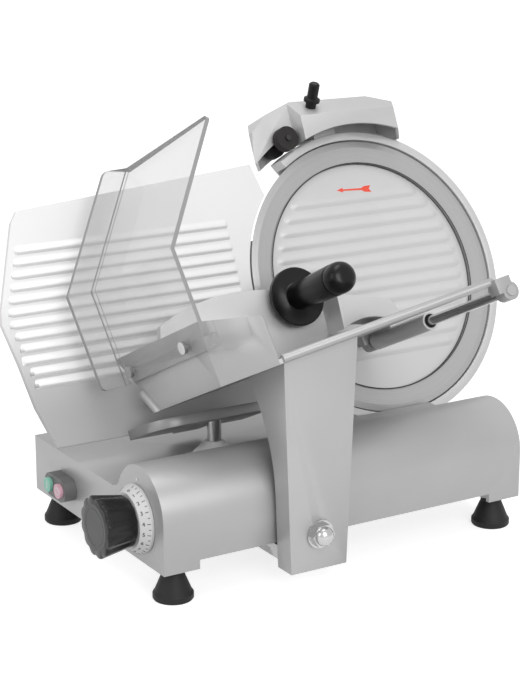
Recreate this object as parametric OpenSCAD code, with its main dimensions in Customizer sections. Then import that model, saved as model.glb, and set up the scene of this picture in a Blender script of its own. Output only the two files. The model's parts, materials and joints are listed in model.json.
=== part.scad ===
// Gravity-feed food slicer with a 300 mm blade, a sliding product tray and a thickness plate.
// Working frame: X along the base to the right, Y to the back, Z up, from the front left bottom of the base.

/* [Base casting] */
// Length of the base along the carriage travel
base_l = 412; // [400:1:440]
// Depth of the base
base_d = 277; // [270:1:300]
// Height of the flat deck
deck_z = 58; // [54:1:62]
// Radius of the round front of the base
tube_r = 46; // [43:0.5:48]
// Height of the centre of the round front
tube_z = 48; // [46:0.5:52]
// Radius where the round front runs into the deck
valley_r = 18; // [12:1:22]
// Wall of the casting
wall = 5; // [4:0.5:6]
// Thickness of the end walls
end_wall = 6; // [5:0.5:8]
// Height of the gap under the front wall
front_gap = 9; // [8:0.5:11]
// Length of each end skirt in front
skirt_l = 38; // [30:1:42]
// Thickness of the bottom cover
cover_t = 2; // [1.5:0.5:3]

/* [Feet] */
// Height of the feet
foot_h = 32; // [26:1:40]
// Radius of a foot at the floor
foot_r = 19.5; // [16:0.5:22]
// Radius of a foot at its neck
foot_neck_r = 10.5; // [9:0.5:12]
// Distance of the feet from the edges of the base
foot_inset = 20; // [18:1:22]

/* [Blade] */
// Radius of the blade
blade_r = 150; // [146:1:152]
// Tilt of the blade plane
tilt = 25; // [24:0.5:26]
// Blade centre along the base
blade_x = 383; // [375:1:390]
// Blade centre in depth
blade_y = 223.5; // [222:0.5:230]
// Blade centre above the bottom of the base
blade_z = 190; // [189:0.5:196]
// Radius of the cover plate in the blade
cover_r = 124.8; // [118:0.2:126]
// Gap round the cover plate
cover_gap = 1.2; // [1:0.1:2]
// Gap between the blade and the ring guard
ring_gap = 1.6; // [1.2:0.1:2.5]
// Width of the ring guard
ring_w = 10; // [8:0.5:12]

/* [Drive] */
// Radius of the blade shaft
shaft_r = 12; // [11:0.5:13]
// Radius of the driven pulley
pulley_r = 50; // [46:1:52]
// Radius of the motor pulley
motor_pulley_r = 14; // [12:0.5:16]
// Motor axis to the right of the blade axis
motor_dx = 76; // [74:1:80]
// Motor axis below the blade axis
motor_dz = 40; // [34:1:42]
// Radius of the motor
motor_r = 46; // [42:1:47]
// Length of the motor
motor_l = 100; // [90:1:110]
// Running clearance on radius
run_gap = 0.05; // [0.03:0.01:0.08]

/* [Gauge plate] */
// Thickness of the gauge plate
gauge_t = 6; // [5:0.5:8]
// Height of its ribs
rib_h = 2; // [1.5:0.1:3]
// Distance between ribs
rib_pitch = 12.2; // [11:0.1:13]
// Number of ribs
rib_n = 12; // [8:1:12]
// Travel of the gauge plate
gauge_travel = 16.5; // [10:0.5:17]
// Turn of the knob for that travel
knob_turn = 330; // [300:5:340]
// Radius of the gauge post
post_r = 7; // [6:0.5:8]
// Gauge post along the base
post_x = 127; // [122:1:134]
// Gauge post in depth
post_y = 128; // [126:1:132]

/* [Knob and switch] */
// Knob axis in depth
knob_y = 50; // [48:0.5:51]
// Knob axis in height
knob_z = 41; // [40:0.5:44]
// Radius of the knob at its front
knob_r = 30; // [27:0.5:31]
// Radius of the knob at the dial
knob_neck_r = 25; // [22:0.5:26]
// Length of the knob
knob_l = 33; // [28:1:36]
// Radius of the dial
dial_r = 33.5; // [33:0.5:36]
// Length of the dial
dial_l = 12; // [10:0.5:14]
// Switch centre in depth
switch_y = 204; // [196:1:210]
// Switch centre in height
switch_z = 26; // [24:0.5:28]
// Radius of the switch ends
switch_r = 12; // [11:0.5:13]
// Distance between the two push-buttons
button_pitch = 23; // [22:0.5:25]
// Stand-out of the switch bezel
switch_out = 13; // [11:0.5:15]
// Push-button travel
button_travel = 3; // [2:0.5:4]

/* [Carriage] */
// Left edge of the tray floor at its front corner
tray_x = 100; // [96:1:106]
// Distance of the tray front from the blade plane
tray_front = 242; // [234:1:246]
// Tray floor below the blade centre at its front left corner
tray_drop = 104; // [100:0.5:106]
// Roll of the tray floor towards its side wall
tray_roll = 9; // [8:0.25:10]
// Clearance between the tray and the blade plane
tray_gap = 10; // [8:0.5:14]
// Width of the tray floor from its front corner
tray_w = 244; // [236:1:246]
// Reach of the tray beyond its front corner to the left
tray_left = 40; // [36:1:44]
// Thickness of the tray floor
floor_t = 5; // [4:0.5:6]
// Thickness of the tray wall
tray_wall = 4; // [3:0.5:5]
// Height of the tray wall
wall_h = 58; // [52:1:62]
// Height of the tray wall at its front corner
wall_front_h = 42; // [36:1:46]
// Front face of the arm in front of the base
arm_out = 29; // [27:0.5:31]
// Depth of the arm at its foot
arm_depth = 24; // [22:0.5:25]
// Plate thickness of the arm
arm_t = 5; // [4:0.5:6]
// Left edge of the arm at its foot
arm_x = 119.5; // [118:0.5:121]
// Width of the arm at its foot
arm_w = 62; // [58:0.5:64]
// Spread of the arm on each side at the tray
arm_flare = 11.5; // [9:0.5:12]
// Bottom of the arm below the base
arm_low = 14; // [13:0.5:16]
// Radius of the carriage rail
rail_r = 10; // [9:0.5:11]

/* [Guard and pusher] */
// Thickness of the clear guard
guard_t = 4; // [3:0.5:5]
// Height of the guard's lower panel
guard_low_h = 105; // [96:1:110]
// Height of the guard's upper panel
guard_high_h = 143; // [130:1:148]
// Lean of the upper panel over the tray
guard_lean = 38; // [34:0.5:40]
// Length of the guard along the tray wall
guard_l = 184; // [176:1:186]
// Radius of the pusher rod
rod_r = 5; // [4.5:0.25:5.5]
// Rod axis beyond the right edge of the tray floor
rod_u = 6; // [4:1:10]
// Rod axis below the top of the tray floor
rod_drop = 15; // [14:0.5:17]
// Outer radius of the pusher sleeve
sleeve_r = 9.5; // [9:0.25:10]
// Length of the pusher sleeve
sleeve_l = 104; // [90:1:106]
// Radius of the hand disc
disc_r = 31; // [26:0.5:32]
// Radius of the grip
grip_r = 14; // [12:0.5:15]
// Length of the grip
grip_l = 84; // [76:1:90]

/* [Sharpener] */
// Radius of the two stones
stone_r = 13; // [11:0.5:13]
// Half depth of the sharpener cover
sharp_half = 25; // [24:0.5:27]
// Wall of the sharpener cover
sharp_wall = 3; // [2.5:0.5:4]

/* [Hidden] */
$fn = 64;
eps = 0.01;
// Seat gap between pieces of one body
seat = 0.02;
// Air between moving pieces
air = 0.4;
// Round front and valley of the base
tube_c = [tube_r, tube_z];
valley_c = [tube_r + sqrt(pow(tube_r + valley_r, 2) - pow(deck_z + valley_r - tube_z, 2)), deck_z + valley_r];
valley_a = atan2(valley_c[1] - tube_c[1], valley_c[0] - tube_c[0]);
stud_r = 4;
boss_r = foot_inset - wall + 0.5;
boss_h = 11;
foot_xs = [foot_inset, base_l - foot_inset];
foot_ys = [foot_inset, base_d - foot_inset];
// Stack behind the blade plane
ring_ir = blade_r + ring_gap;
ring_or = ring_ir + ring_w;
recess_r = cover_r + cover_gap;
web_front = 8;
web_t = 3;
// Cover plate in the blade and its ridges
cover_front = 4.6;
cover_sink = 0.8;
ridge_r = 6;
ridge_h = 1.6;
ridge_in = 16;
ridge_pitch = 14.2;
ridge_low = -84;
ridge_top = 90;
tie_front = 5.6;
flange_r = 30;
flange_t = 5;
screw_r = 2.5;
screw_at = flange_r - 8;
flange_back = web_front + web_t + flange_t;
ring_web = 3;
ring_lip = 1;
ring_start = -122;
ring_sweep = 242;
housing_front = flange_back + 2 + ring_web;
bearing_t = 11;
bearing_r = 21;
cavity_front = housing_front + bearing_t + 2;
pulley_t = 14;
pulley_lip = 0.9;
pulley_front = cavity_front + 2;
cavity_back = pulley_front + pulley_t + 3;
plate_back = cavity_back + bearing_t + 2;
shaft_back = plate_back + 3;
housing_r = pulley_r + 16;
ring_web_r = housing_r - 12;
pedestal_out = housing_r + 6;
pedestal_in = 8;
pedestal_d = 120;
pedestal_h = 74;
// Foot of the housing on the deck
flange_out = 6;
flange_d = 66;
flange_h = 7;
motor_lobe = motor_pulley_r + 22;
belt_t = 4;
motor_shaft_r = 7;
motor_back = plate_back + motor_l;
cap_t = 12;
cap_edge = 6;
tie_r = 5;
tie_bore = tie_r + air;
tie_knob_r = 16;
tie_knob_l = 22;
tie_back = shaft_back + 1 + tie_knob_l;
well_gap = 4;
deflector_l = 142;
deflector_gap = 9;
deflector_t = 3;
deflector_low = -90;
deflector_h = 150;
// Gauge plate outline from the blade centre
gauge_left = 436;
gauge_low = 124.5;
gauge_edge = ring_ir;
gauge_end = -122;
gauge_back = gauge_t + rib_h;
rib_top = 75;
rib_in = 7;
rib_right = -168;
gauge_top = 137;
gauge_notch = 37;
gauge_cut = 10;
gauge_foot = 30;
// Left edge of the gauge plate as (height, x), from shares of its depth and its length
gauge_side = [for (p = [[-0.984, 0.929], [-0.643, 0.961], [-0.289, 0.979], [0.04, 1], [0.157, 0.994],
    [0.843, 0.927], [0.932, 0.908]]) [p[0] * gauge_low, -p[1] * gauge_left]];
gauge_outline = concat([for (p = gauge_side) [p[1], p[0]]], [[gauge_end, gauge_top],
    [gauge_end + gauge_cut, gauge_top - gauge_notch], [gauge_end + gauge_foot, -gauge_low]]);
// Bracket that carries the gauge plate on its post, in the blade frame
slab_t = 10;
slab_under = 3.8;
slab_low = -gauge_low - slab_under;
slab_front = -66;
slab_reach_l = 72;
slab_reach_r = 58;
slab_left = post_x - blade_x - slab_reach_l;
slab_right = post_x - blade_x + slab_reach_r;
slab_r = 28;
leg_w = 30;
leg_t = 12;
leg_h = 60;
post_in = 4;
post_top = post_in + blade_z + (slab_low + (blade_y - post_y) * sin(tilt)) / cos(tilt);
cap_r = 22;
cap_h = 15;
slot_l = gauge_travel + 2 * post_r + 2;
guide_r = 6;
guide_x = post_x + 32;
guide_z = 28;
lug_t = 6;
lug_w = 20;
lug_sink = 2;
lug_front = post_y - 34;
lug_back = post_y + gauge_travel + 34;
slider_d = 28;
slider_z = 18;
slider_h = 22;
slider_in = 12;
// Cam on the knob shaft
knob_shaft_r = 5;
shaft_in = 6;
dial_rim = 3;
flute_n = 12;
flute_r = 7;
flute_d = 1.8;
knob_edge = 2;
knob_cap_r = 17;
dial_front_r = 27;
button_r = switch_r - 4.5;
cam_pin_r = 2.5;
cam_r0 = 10;
cam_r = cam_r0 + gauge_travel + cam_pin_r + 3.5;
cam_x = 12;
cam_t = 6;
groove_w = 2 * cam_pin_r + 1;
link_x = cam_x + cam_t + 2;
link_t = 6;
link_h = 10;
// Carriage in the base
rail_y = 34;
rail_z = 26;
bulkhead_x = 30;
bulkhead_t = 6;
bulkhead_d = 62;
cover_y = bulkhead_d + 2;
tongue_low = 10;
tongue_top = front_gap - 5;
tongue_gap = 7;
block_r = rail_r + 4;
arm_depth_y = arm_t - arm_out;
arm_top = 260;
// Sweep of the back edge of the arm under the tray
arm_bend_z = 60;
arm_sweep = 147;
arm_turn = 56;
bolt_r = 6;
bolt_z = 22;
bolt_head_r = 14;
washer_t = 2.5;
nut_t = 6;
dome_h = 8;
bolt_in = 17;
gland_r = 8;
gland_l = 16;
gland_bore = 3.5;
gland_x = base_l - 60;
gland_z = 30;
// Tray frame
floor_l = tray_front - tray_gap;
rod_w = floor_t - rod_drop;
ear_r = 9;
ear_l = 14;
ear_out = 30;
corner_v = 45;
front_rise = 20;
// Direction into the tray from the diagonal wall
corner_n = [corner_v, tray_left] / norm([tray_left, corner_v]);
// Left wall, its slanted end and the lip along the front
wall_top = floor_t + wall_h;
wall_end = 178;
wall_end_top = 228;
floor_cut = -10;
bead_r = 5;
bead_l = 28;
lip_r = 4;
// Recess in the diagonal wall
recess_x = 14;
recess_w = 28;
recess_l = 32;
recess_d = 1.2;
recess_corner = 8;
rod_axis_u = tray_w + rod_u;
sleeve_front = floor_l - ear_l - 4 - sleeve_l;
bush_r = rod_r + 2;
guard_w = 35;
guard_short = 12;
guard_v = floor_l - guard_short - guard_l;
guard_screw_w = 46;
screw_near = 40;
screw_far = 24;
guard_screws_v = [guard_v + screw_near, guard_v + guard_l - screw_far];
flare_out = 15;
flare_l = 17;
tab_l = 20;
tab_h = 13;
plate_t = 7;
// Pusher plate and its arch, seen along the rod
push_left = -252;
push_right = -58;
push_top = 50;
push_foot = -268;
push_gap = 3;
crown = 23;
crown_r = (pow((push_right - push_left) / 2, 2) + pow(crown, 2)) / (2 * crown);
crown_c = [(push_left + push_right) / 2, push_top + crown - crown_r];
crown_a = asin((push_right - push_left) / 2 / crown_r);
// Arch over the edge of the tray, on the line of the pusher's foot
push_arch_l = -72;
push_arch_r = -6.5;
arch_h = 9;
arch_half = (push_arch_r - push_arch_l) / 2 / cos(tray_roll);
arch_r = (pow(arch_half, 2) + pow(arch_h, 2)) / (2 * arch_h);
arch_mid = (push_arch_l + push_arch_r) / 2;
arch_c = [arch_mid, push_low(arch_mid)] + (arch_h - arch_r) * [-sin(tray_roll), cos(tray_roll)];
arch_a = asin(arch_half / arch_r);
arch_l = 40;
shoulder_x = -10;
shoulder_z = 22;
shoulder_r = 18;
plate_v = sleeve_front + sleeve_l - plate_t;
hand_x = -96;
hand_z = 57;
hand_boss = 11;
hook_left = hand_x + disc_r + 3;
disc_t = 6;
disc_v = plate_v - 8;
grip_v = disc_v - disc_t;
// Sharpener outline from the blade centre
sharp_x = -22;
sharp_left = -118;
sharp_right = 72;
sharp_top = blade_r + 50;
sharp_back = 38;
sharp_h = 64;
sharp_foot = sharp_top - sharp_h;
nose_h = 22;
nose_slope = nose_h / sharp_half;
step_x = -63;
end_taper = 32.4;
nose_right = 57.5;
step_yb = -3;
stem_r = 8;
stem_boss = 13;
stem_pad = 28;
stem_top = sharp_top - 4;
stem_yb = 10;
stem_foot = ring_or + 5;
stone_x = -79;
stone_z = blade_r + 7;
stone_t = 10;
stone_cut = 17;
grinding_yb = 14;
honing_yb = 18;
spindle_r = 3;
// Clamp knob on the sloped nose
clamp_x = -40;
clamp_yb = -sharp_half / 2;
clamp_r = 5.8;
clamp_rim = 8.8;
clamp_neck = 6;
clamp_h = 28;
// Centre of the whole machine over the floor
rod_tau = -tray_drop + rod_axis_u * sin(tray_roll) + rod_w * cos(tray_roll);
low_x = blade_x - gauge_left;
high_x = blade_x + ring_or;
low_y = blade_y - cos(tilt) * (tray_front + ear_out) + sin(tilt) * (rod_tau - ear_r);
high_y = blade_y + cos(tilt) * (motor_back + cap_t) + sin(tilt) * (motor_r - cap_edge - motor_dz);
centre = [(low_x + high_x) / 2, (low_y + high_y) / 2];

// Points on an arc from angle a0 to a1
function arc(c, r, a0, a1, n) = [for (i = [0 : n])
    let (a = a0 + (a1 - a0) * i / n) c + r * [cos(a), sin(a)]];

// Section of the base, drawn in by t, down to height low
function section(t, low) = concat(
    [[t, low]],
    arc(tube_c, tube_r - t, 180, valley_a, 24),
    arc(valley_c, valley_r + t, 180 + valley_a, 270, 8),
    [[base_d - t, deck_z - t], [base_d - t, low]]);

// Side view point at depth yb behind the blade plane and height tau up the blade
function side_point(yb, tau) = [blade_y + yb * cos(tilt) + tau * sin(tilt),
    blade_z - yb * sin(tilt) + tau * cos(tilt)];

// Belt line round a circle at the origin and a smaller one at c
function two_circles(r0, c, r1, n = 16) =
    let (d = norm(c), a = atan2(c[1], c[0]), b = acos((r0 - r1) / d))
    concat(arc([0, 0], r0, a + b, a + 360 - b, 2 * n), arc(c, r1, a - b, a + b, n));

// Section of a belt pulley of radius r with two low flanges, on a shaft of radius bore
function pulley_section(bore, r) = let (y0 = pulley_front, y1 = pulley_front + pulley_t, lip = pulley_lip)
    [[bore + seat, y0], [r + 2 * lip, y0], [r + 2 * lip, y0 + lip], [r, y0 + lip],
        [r, y1 - lip], [r + 2 * lip, y1 - lip], [r + 2 * lip, y1], [bore + seat, y1]];

// Spiral line at offset w from the cam groove, which runs past the pin at both ends of the turn
function groove_side(w, n = 48) =
    let (a0 = -asin(groove_w / 2 / cam_r0), a1 = knob_turn + asin(groove_w / 2 / (cam_r0 + gauge_travel)))
    [for (i = [0 : n])
        let (a = a0 + (a1 - a0) * i / n, r = cam_r0 + gauge_travel * a / knob_turn + w) r * [cos(a), sin(a)]];

// Height of the pusher's foot above its rod at x, just over the tray floor
function push_low(x) = (floor_t - rod_w + push_gap) / cos(tray_roll) + x * tan(tray_roll);

function reversed(p) = [for (i = [len(p) - 1 : -1 : 0]) p[i]];

module place() {
    translate([-centre[0], -centre[1], foot_h]) children();
}

// Right along X, back behind the blade plane, up along the blade
module blade_frame() {
    translate([blade_x, blade_y, blade_z]) rotate([-tilt, 0, 0]) children();
}

// Right along the tray floor, back towards the blade, up from the underside of the floor
module tray_frame() {
    blade_frame() translate([tray_x - blade_x, -tray_front, -tray_drop])
        rotate([0, -tray_roll, 0]) children();
}

// Pusher at its rod, square to the blade
module pusher_frame() {
    tray_frame() translate([rod_axis_u, 0, rod_w]) rotate([0, tray_roll, 0]) children();
}

// Extrudes a side view (Y, Z) along X
module along_x(l) {
    rotate([90, 0, 90]) linear_extrude(l) children();
}

// Extrudes a front view (X, Z) along Y
module along_y(l) {
    translate([0, l, 0]) rotate([90, 0, 0]) linear_extrude(l) children();
}

// Round piece along Y from y0 to y1
module rod_y(r, y0, y1) {
    translate([0, y0, 0]) rotate([-90, 0, 0]) cylinder(r = r, h = y1 - y0);
}

// Round piece along X from x0 to x1
module rod_x(r, x0, x1) {
    translate([x0, 0, 0]) rotate([0, 90, 0]) cylinder(r = r, h = x1 - x0);
}

// Revolves a profile of (radius, depth) about the Y axis
module revolve_y() {
    rotate([-90, 0, 0]) rotate_extrude($fn = 96) children();
}

// Disc that clears the ring guard where it dips below the deck
module blade_well(grow) {
    rod_y(ring_or + well_gap + grow, -well_gap - grow, housing_front + well_gap + grow);
}

// Bulkhead that carries one end of the carriage rail
module bulkhead(x) {
    translate([x, 0, 0]) intersection() {
        along_x(bulkhead_t) polygon(section(wall - eps, rail_z - rail_r - 4));
        cube([bulkhead_t, bulkhead_d, deck_z + tube_r]);
    }
}

// Lug under the deck that carries one end of the gauge guide
module guide_lug(y) {
    translate([guide_x - lug_w / 2, y, guide_z - lug_w / 2])
        cube([lug_w, lug_t, deck_z - lug_sink - guide_z + lug_w / 2]);
}

module base_casting() {
    color("silver") place() difference() {
        union() {
            difference() {
                along_x(base_l) polygon(section(0, 0));
                translate([end_wall, 0, 0]) along_x(base_l - 2 * end_wall) polygon(section(wall, -1));
            }
            for (x = foot_xs, y = foot_ys) translate([x, y, 0]) cylinder(r = boss_r, h = boss_h);
            intersection() {
                along_x(base_l) polygon(section(0, 0));
                blade_frame() blade_well(wall);
            }
            bulkhead(bulkhead_x);
            bulkhead(base_l - bulkhead_x - bulkhead_t);
            guide_lug(lug_front);
            guide_lug(lug_back - lug_t);
        }
        blade_frame() blade_well(0);
        translate([skirt_l, -1, -1]) cube([base_l - 2 * skirt_l, wall + 2, front_gap + 1]);
        for (x = foot_xs, y = foot_ys) translate([x, y, -1]) cylinder(r = stud_r + seat, h = boss_h - 3);
        translate([0, knob_y, knob_z]) rod_x(knob_shaft_r + run_gap, -1, end_wall + 1);
        translate([-1, switch_y, switch_z]) along_x(end_wall + 2) switch_shape(switch_r - 1.5);
        translate([0, rail_y, rail_z]) rod_x(rail_r + seat, bulkhead_x - 1, base_l - bulkhead_x + 1);
        translate([guide_x, 0, guide_z]) rod_y(guide_r + seat, lug_front - 1, lug_back + 1);
        translate([post_x - post_r - 1, post_y - post_r - 1, deck_z - wall - 1])
            cube([2 * post_r + 2, slot_l, wall + 2]);
        translate([gland_x, 0, gland_z]) rod_y(gland_r + seat, base_d - wall - 1, base_d + 1);
    }
}

module bottom_cover() {
    color("dimgray") place() difference() {
        translate([end_wall + air, cover_y, 0])
            cube([base_l - 2 * end_wall - 2 * air, base_d - cover_y - wall - air, cover_t]);
        for (x = foot_xs) translate([x, foot_ys[1], -1]) cylinder(r = boss_r + air, h = cover_t + 2);
        for (x = [0, base_l - foot_inset]) translate([x, foot_ys[1], -1])
            cube([foot_inset, foot_inset, cover_t + 2]);
    }
}

module feet() {
    color("#262626") place() for (x = foot_xs, y = foot_ys) translate([x, y, -foot_h]) difference() {
        rotate_extrude() polygon([[0, 0], [foot_r - 1, 0], [foot_r, 1.5], [foot_r, 6], [foot_r - 2, 9],
            [foot_neck_r, foot_h - 6], [foot_neck_r, foot_h], [0, foot_h]]);
        translate([0, 0, 12]) cylinder(r = stud_r + seat, h = foot_h);
    }
}

module foot_studs() {
    color("gray") place() for (x = foot_xs, y = foot_ys) translate([x, y, 12 - foot_h])
        cylinder(r = stud_r, h = foot_h - 12 + boss_h - 6);
}

module blade_housing() {
    color("silver") place() difference() {
        union() {
            blade_frame() translate([0, housing_front, 0]) along_y(cavity_back - housing_front)
                polygon(two_circles(housing_r, [motor_dx, -motor_dz], motor_lobe));
            intersection() {
                translate([blade_x - pedestal_out, blade_y - pedestal_d / 2, deck_z])
                    cube([base_l - blade_x + pedestal_out - pedestal_in, pedestal_d, pedestal_h]);
                blade_frame() translate([-base_l / 2, housing_front, -blade_z])
                    cube([base_l, cavity_back - housing_front, blade_z + housing_r]);
            }
            translate([blade_x - pedestal_out - flange_out, blade_y - flange_d / 2, deck_z])
                cube([base_l - blade_x + pedestal_out, flange_d, flange_h]);
        }
        blade_frame() translate([0, cavity_front, 0]) along_y(cavity_back)
            polygon(two_circles(housing_r - wall, [motor_dx, -motor_dz], motor_lobe - wall));
        blade_frame() rod_y(bearing_r + seat, housing_front - 1, cavity_front + 1);
    }
}

module ring_guard() {
    color("gainsboro") place() blade_frame() difference() {
        union() {
            rotate([-90, 0, 0]) rotate([0, 0, ring_start])
                rotate_extrude(angle = ring_sweep, $fn = 120) polygon([
                    [ring_ir, -ring_lip], [ring_or - 2 * ring_lip, -ring_lip], [ring_or, ring_lip],
                    [ring_or, housing_front], [ring_web_r, housing_front],
                    [ring_web_r, housing_front - ring_web], [ring_ir, housing_front - ring_web]]);
            translate([sharp_x - stem_pad / 2, 0, ring_ir - ring_web])
                cube([stem_pad, housing_front, stem_foot - ring_ir + ring_web]);
        }
        rod_y(ring_ir, -2 * ring_lip, housing_front - ring_web);
    }
}

module drive_cover() {
    color("silver") place() blade_frame() difference() {
        translate([0, cavity_back, 0]) along_y(plate_back - cavity_back)
            polygon(two_circles(housing_r, [motor_dx, -motor_dz], motor_lobe));
        rod_y(bearing_r + seat, cavity_back - 1, cavity_back + bearing_t);
        rod_y(shaft_r + 1, cavity_back - 1, plate_back + 1);
        translate([motor_dx, 0, -motor_dz]) rod_y(motor_shaft_r + 1, cavity_back - 1, plate_back + 1);
    }
}

module motor_case() {
    color("dimgray") place() blade_frame() translate([motor_dx, 0, -motor_dz]) difference() {
        union() {
            rod_y(motor_lobe, plate_back, plate_back + 6);
            rod_y(motor_r, plate_back + 6, motor_back);
            for (a = [0 : 15 : 345]) rotate([0, a, 0])
                translate([-1.5, plate_back + 14, motor_r - 3]) cube([3, motor_l - 22, 3 - eps]);
        }
        rod_y(motor_shaft_r + run_gap, plate_back - 1, motor_back - 8);
    }
}

module motor_end_cap() {
    color("#303030") place() blade_frame() translate([motor_dx, 0, -motor_dz]) difference() {
        revolve_y() polygon([[0, motor_back], [motor_r, motor_back], [motor_r, motor_back + cap_t - cap_edge],
            [motor_r - cap_edge, motor_back + cap_t], [0, motor_back + cap_t]]);
        for (a = [0 : 30 : 330]) rotate([0, a, 0])
            translate([-2, motor_back + 3, 14]) cube([4, cap_t, 22]);
    }
}

module shaft_bearings() {
    color("gray") place() blade_frame() for (y = [housing_front, cavity_back]) difference() {
        rod_y(bearing_r, y, y + bearing_t - 1);
        rod_y(shaft_r + run_gap, y - 1, y + bearing_t);
    }
}

module drive_belt() {
    color("#1c1c1c") place() blade_frame() translate([0, pulley_front + 1, 0]) difference() {
        along_y(pulley_t - 2) polygon(two_circles(pulley_r + air + belt_t, [motor_dx, -motor_dz],
            motor_pulley_r + air + belt_t));
        translate([0, -1, 0]) along_y(pulley_t) polygon(two_circles(pulley_r + air, [motor_dx, -motor_dz],
            motor_pulley_r + air));
    }
}

module blade() {
    color("lightgray") place() blade_frame() difference() {
        revolve_y() polygon([[tie_bore + 2, web_front], [recess_r, web_front], [recess_r, 1.2],
            [blade_r - 7, 0], [blade_r, 1.2], [blade_r - 8, 4.5], [recess_r + 5, web_front + web_t],
            [tie_bore + 2, web_front + web_t]]);
        for (a = [0 : 120 : 240]) rotate([0, a, 0]) translate([0, 0, screw_at])
            rod_y(screw_r + seat, web_front - 1, web_front + web_t + 1);
    }
}

module blade_shaft() {
    color("gray") place() blade_frame() difference() {
        revolve_y() polygon([[tie_bore, web_front + web_t], [flange_r, web_front + web_t],
            [flange_r, flange_back], [shaft_r, flange_back], [shaft_r, shaft_back], [tie_bore, shaft_back]]);
        for (a = [0 : 120 : 240]) rotate([0, a, 0]) translate([0, 0, screw_at])
            rod_y(screw_r + seat, web_front, flange_back - 1);
    }
}

module driven_pulley() {
    color("gray") place() blade_frame() difference() {
        revolve_y() polygon(pulley_section(shaft_r, pulley_r));
        for (a = [30 : 60 : 330]) rotate([0, a, 0]) translate([0, 0, (shaft_r + pulley_r) / 2])
            rod_y(8, pulley_front - 1, pulley_front + pulley_t + 1);
    }
}

module blade_screws() {
    color("gray") place() blade_frame() for (a = [0 : 120 : 240]) rotate([0, a, 0])
        translate([0, 0, screw_at]) rod_y(screw_r, web_front, flange_back - 1.5);
}

// Broad ridge with round ends across the cover at height z
module cover_ridge(z) {
    half = sqrt(pow(cover_r - ridge_in, 2) - pow(z, 2));
    translate([0, cover_front + ridge_r - ridge_h, z]) {
        rod_x(ridge_r, -half, half, $fn = 32);
        for (x = [-half, half]) translate([x, 0, 0]) sphere(r = ridge_r, $fn = 32);
    }
}

module blade_cover() {
    color("whitesmoke") place() blade_frame() difference() {
        union() {
            rod_y(cover_r, cover_front, web_front - cover_sink);
            intersection() {
                for (z = [ridge_low : ridge_pitch : ridge_top]) cover_ridge(z);
                rod_y(cover_r, 0, web_front - cover_sink);
            }
        }
        rod_y(tie_r + seat, tie_front, web_front);
    }
}

module tie_rod() {
    color("gray") place() blade_frame() rod_y(tie_r, tie_front, tie_back - 6);
}

module tie_rod_knob() {
    color("#1c1c1c") place() blade_frame() difference() {
        revolve_y() polygon([[shaft_r + 1, plate_back], [tie_knob_r, plate_back], [tie_knob_r, tie_back - 3],
            [tie_knob_r - 3, tie_back], [0, tie_back], [0, shaft_back + 1], [shaft_r + 1, shaft_back + 1]]);
        rod_y(tie_r + run_gap, shaft_back, tie_back - 5);
        for (a = [0 : 45 : 315]) rotate([0, a, 0]) translate([0, 0, tie_knob_r + 3])
            rod_y(5, shaft_back + 7, tie_back + 1);
    }
}

module motor_shaft() {
    color("gray") place() blade_frame() translate([motor_dx, 0, -motor_dz])
        rod_y(motor_shaft_r, pulley_front, motor_back - 10);
}

module motor_pulley() {
    color("gray") place() blade_frame() translate([motor_dx, 0, -motor_dz]) revolve_y()
        polygon(pulley_section(motor_shaft_r, motor_pulley_r));
}

module gauge_plate() {
    color("whitesmoke") place() blade_frame() difference() {
        union() {
            translate([0, rib_h, 0]) along_y(gauge_t) polygon(gauge_outline);
            for (i = [0 : rib_n - 1]) let (z = rib_top - i * rib_pitch) translate([0, rib_h, z])
                rod_x(rib_h, lookup(z, gauge_side) + rib_in, rib_right, $fn = 16);
        }
        for (z = [0, -gauge_travel * sin(tilt)]) translate([0, 0, z])
            rod_y(gauge_edge, -1, gauge_back + 1, $fn = 120);
    }
}

// Slab with round corners under the tray, and a leg that grips the back of the gauge plate
module gauge_bracket() {
    color("silver") place() difference() {
        blade_frame() {
            translate([0, 0, slab_low]) linear_extrude(slab_t) polygon(concat(
                [[slab_right, rib_h], [slab_left, rib_h]],
                arc([slab_left + slab_r, slab_front + slab_r], slab_r, 180, 270, 16),
                arc([slab_right - slab_r, slab_front + slab_r], slab_r, 270, 360, 16)));
            translate([post_x - blade_x - leg_w / 2, 0, 0]) along_x(leg_w) polygon([
                [rib_h - eps, slab_low], [gauge_back + leg_t, slab_low],
                [gauge_back + leg_t, leg_h - gauge_low], [gauge_back, leg_h - gauge_low],
                [gauge_back, -gauge_low], [rib_h - eps, -gauge_low]]);
        }
        translate([post_x, post_y, 0]) cylinder(r = post_r + seat, h = post_top);
    }
}

module gauge_post() {
    color("gray") place() translate([post_x, post_y, slider_z + slider_h - 10])
        cylinder(r = post_r, h = post_top - slider_z - slider_h + 10);
}

module post_cap() {
    color("gainsboro") place() translate([post_x, post_y, deck_z + air]) rotate_extrude() polygon([
        [post_r + seat, 0], [cap_r, 0], [cap_r, 1.5], [cap_r - 1, 3], [post_r + 3, cap_h - 1.5],
        [post_r + 1.5, cap_h], [post_r + seat, cap_h]]);
}

// Block on the guide bar with a link that ends in the cam pin
module gauge_slider() {
    color("gray") place() difference() {
        union() {
            translate([post_x - slider_in, post_y - slider_d / 2, slider_z])
                cube([guide_x - post_x + 2 * slider_in, slider_d, slider_h]);
            translate([link_x, post_y - slider_in, knob_z - 8])
                cube([post_x - link_x - slider_in + 1, slider_in, link_h]);
            translate([link_x, knob_y + cam_r0 - link_h / 2, knob_z - link_h / 2])
                cube([link_t, post_y - knob_y - cam_r0 + link_h / 2, link_h]);
            translate([0, knob_y + cam_r0, knob_z]) rod_x(cam_pin_r, cam_x + 2, link_x + 1);
        }
        translate([guide_x, 0, guide_z]) rod_y(guide_r + run_gap, post_y - slider_d, post_y + slider_d);
        translate([post_x, post_y, slider_z + slider_h - 10]) cylinder(r = post_r + seat, h = 20);
    }
}

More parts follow.
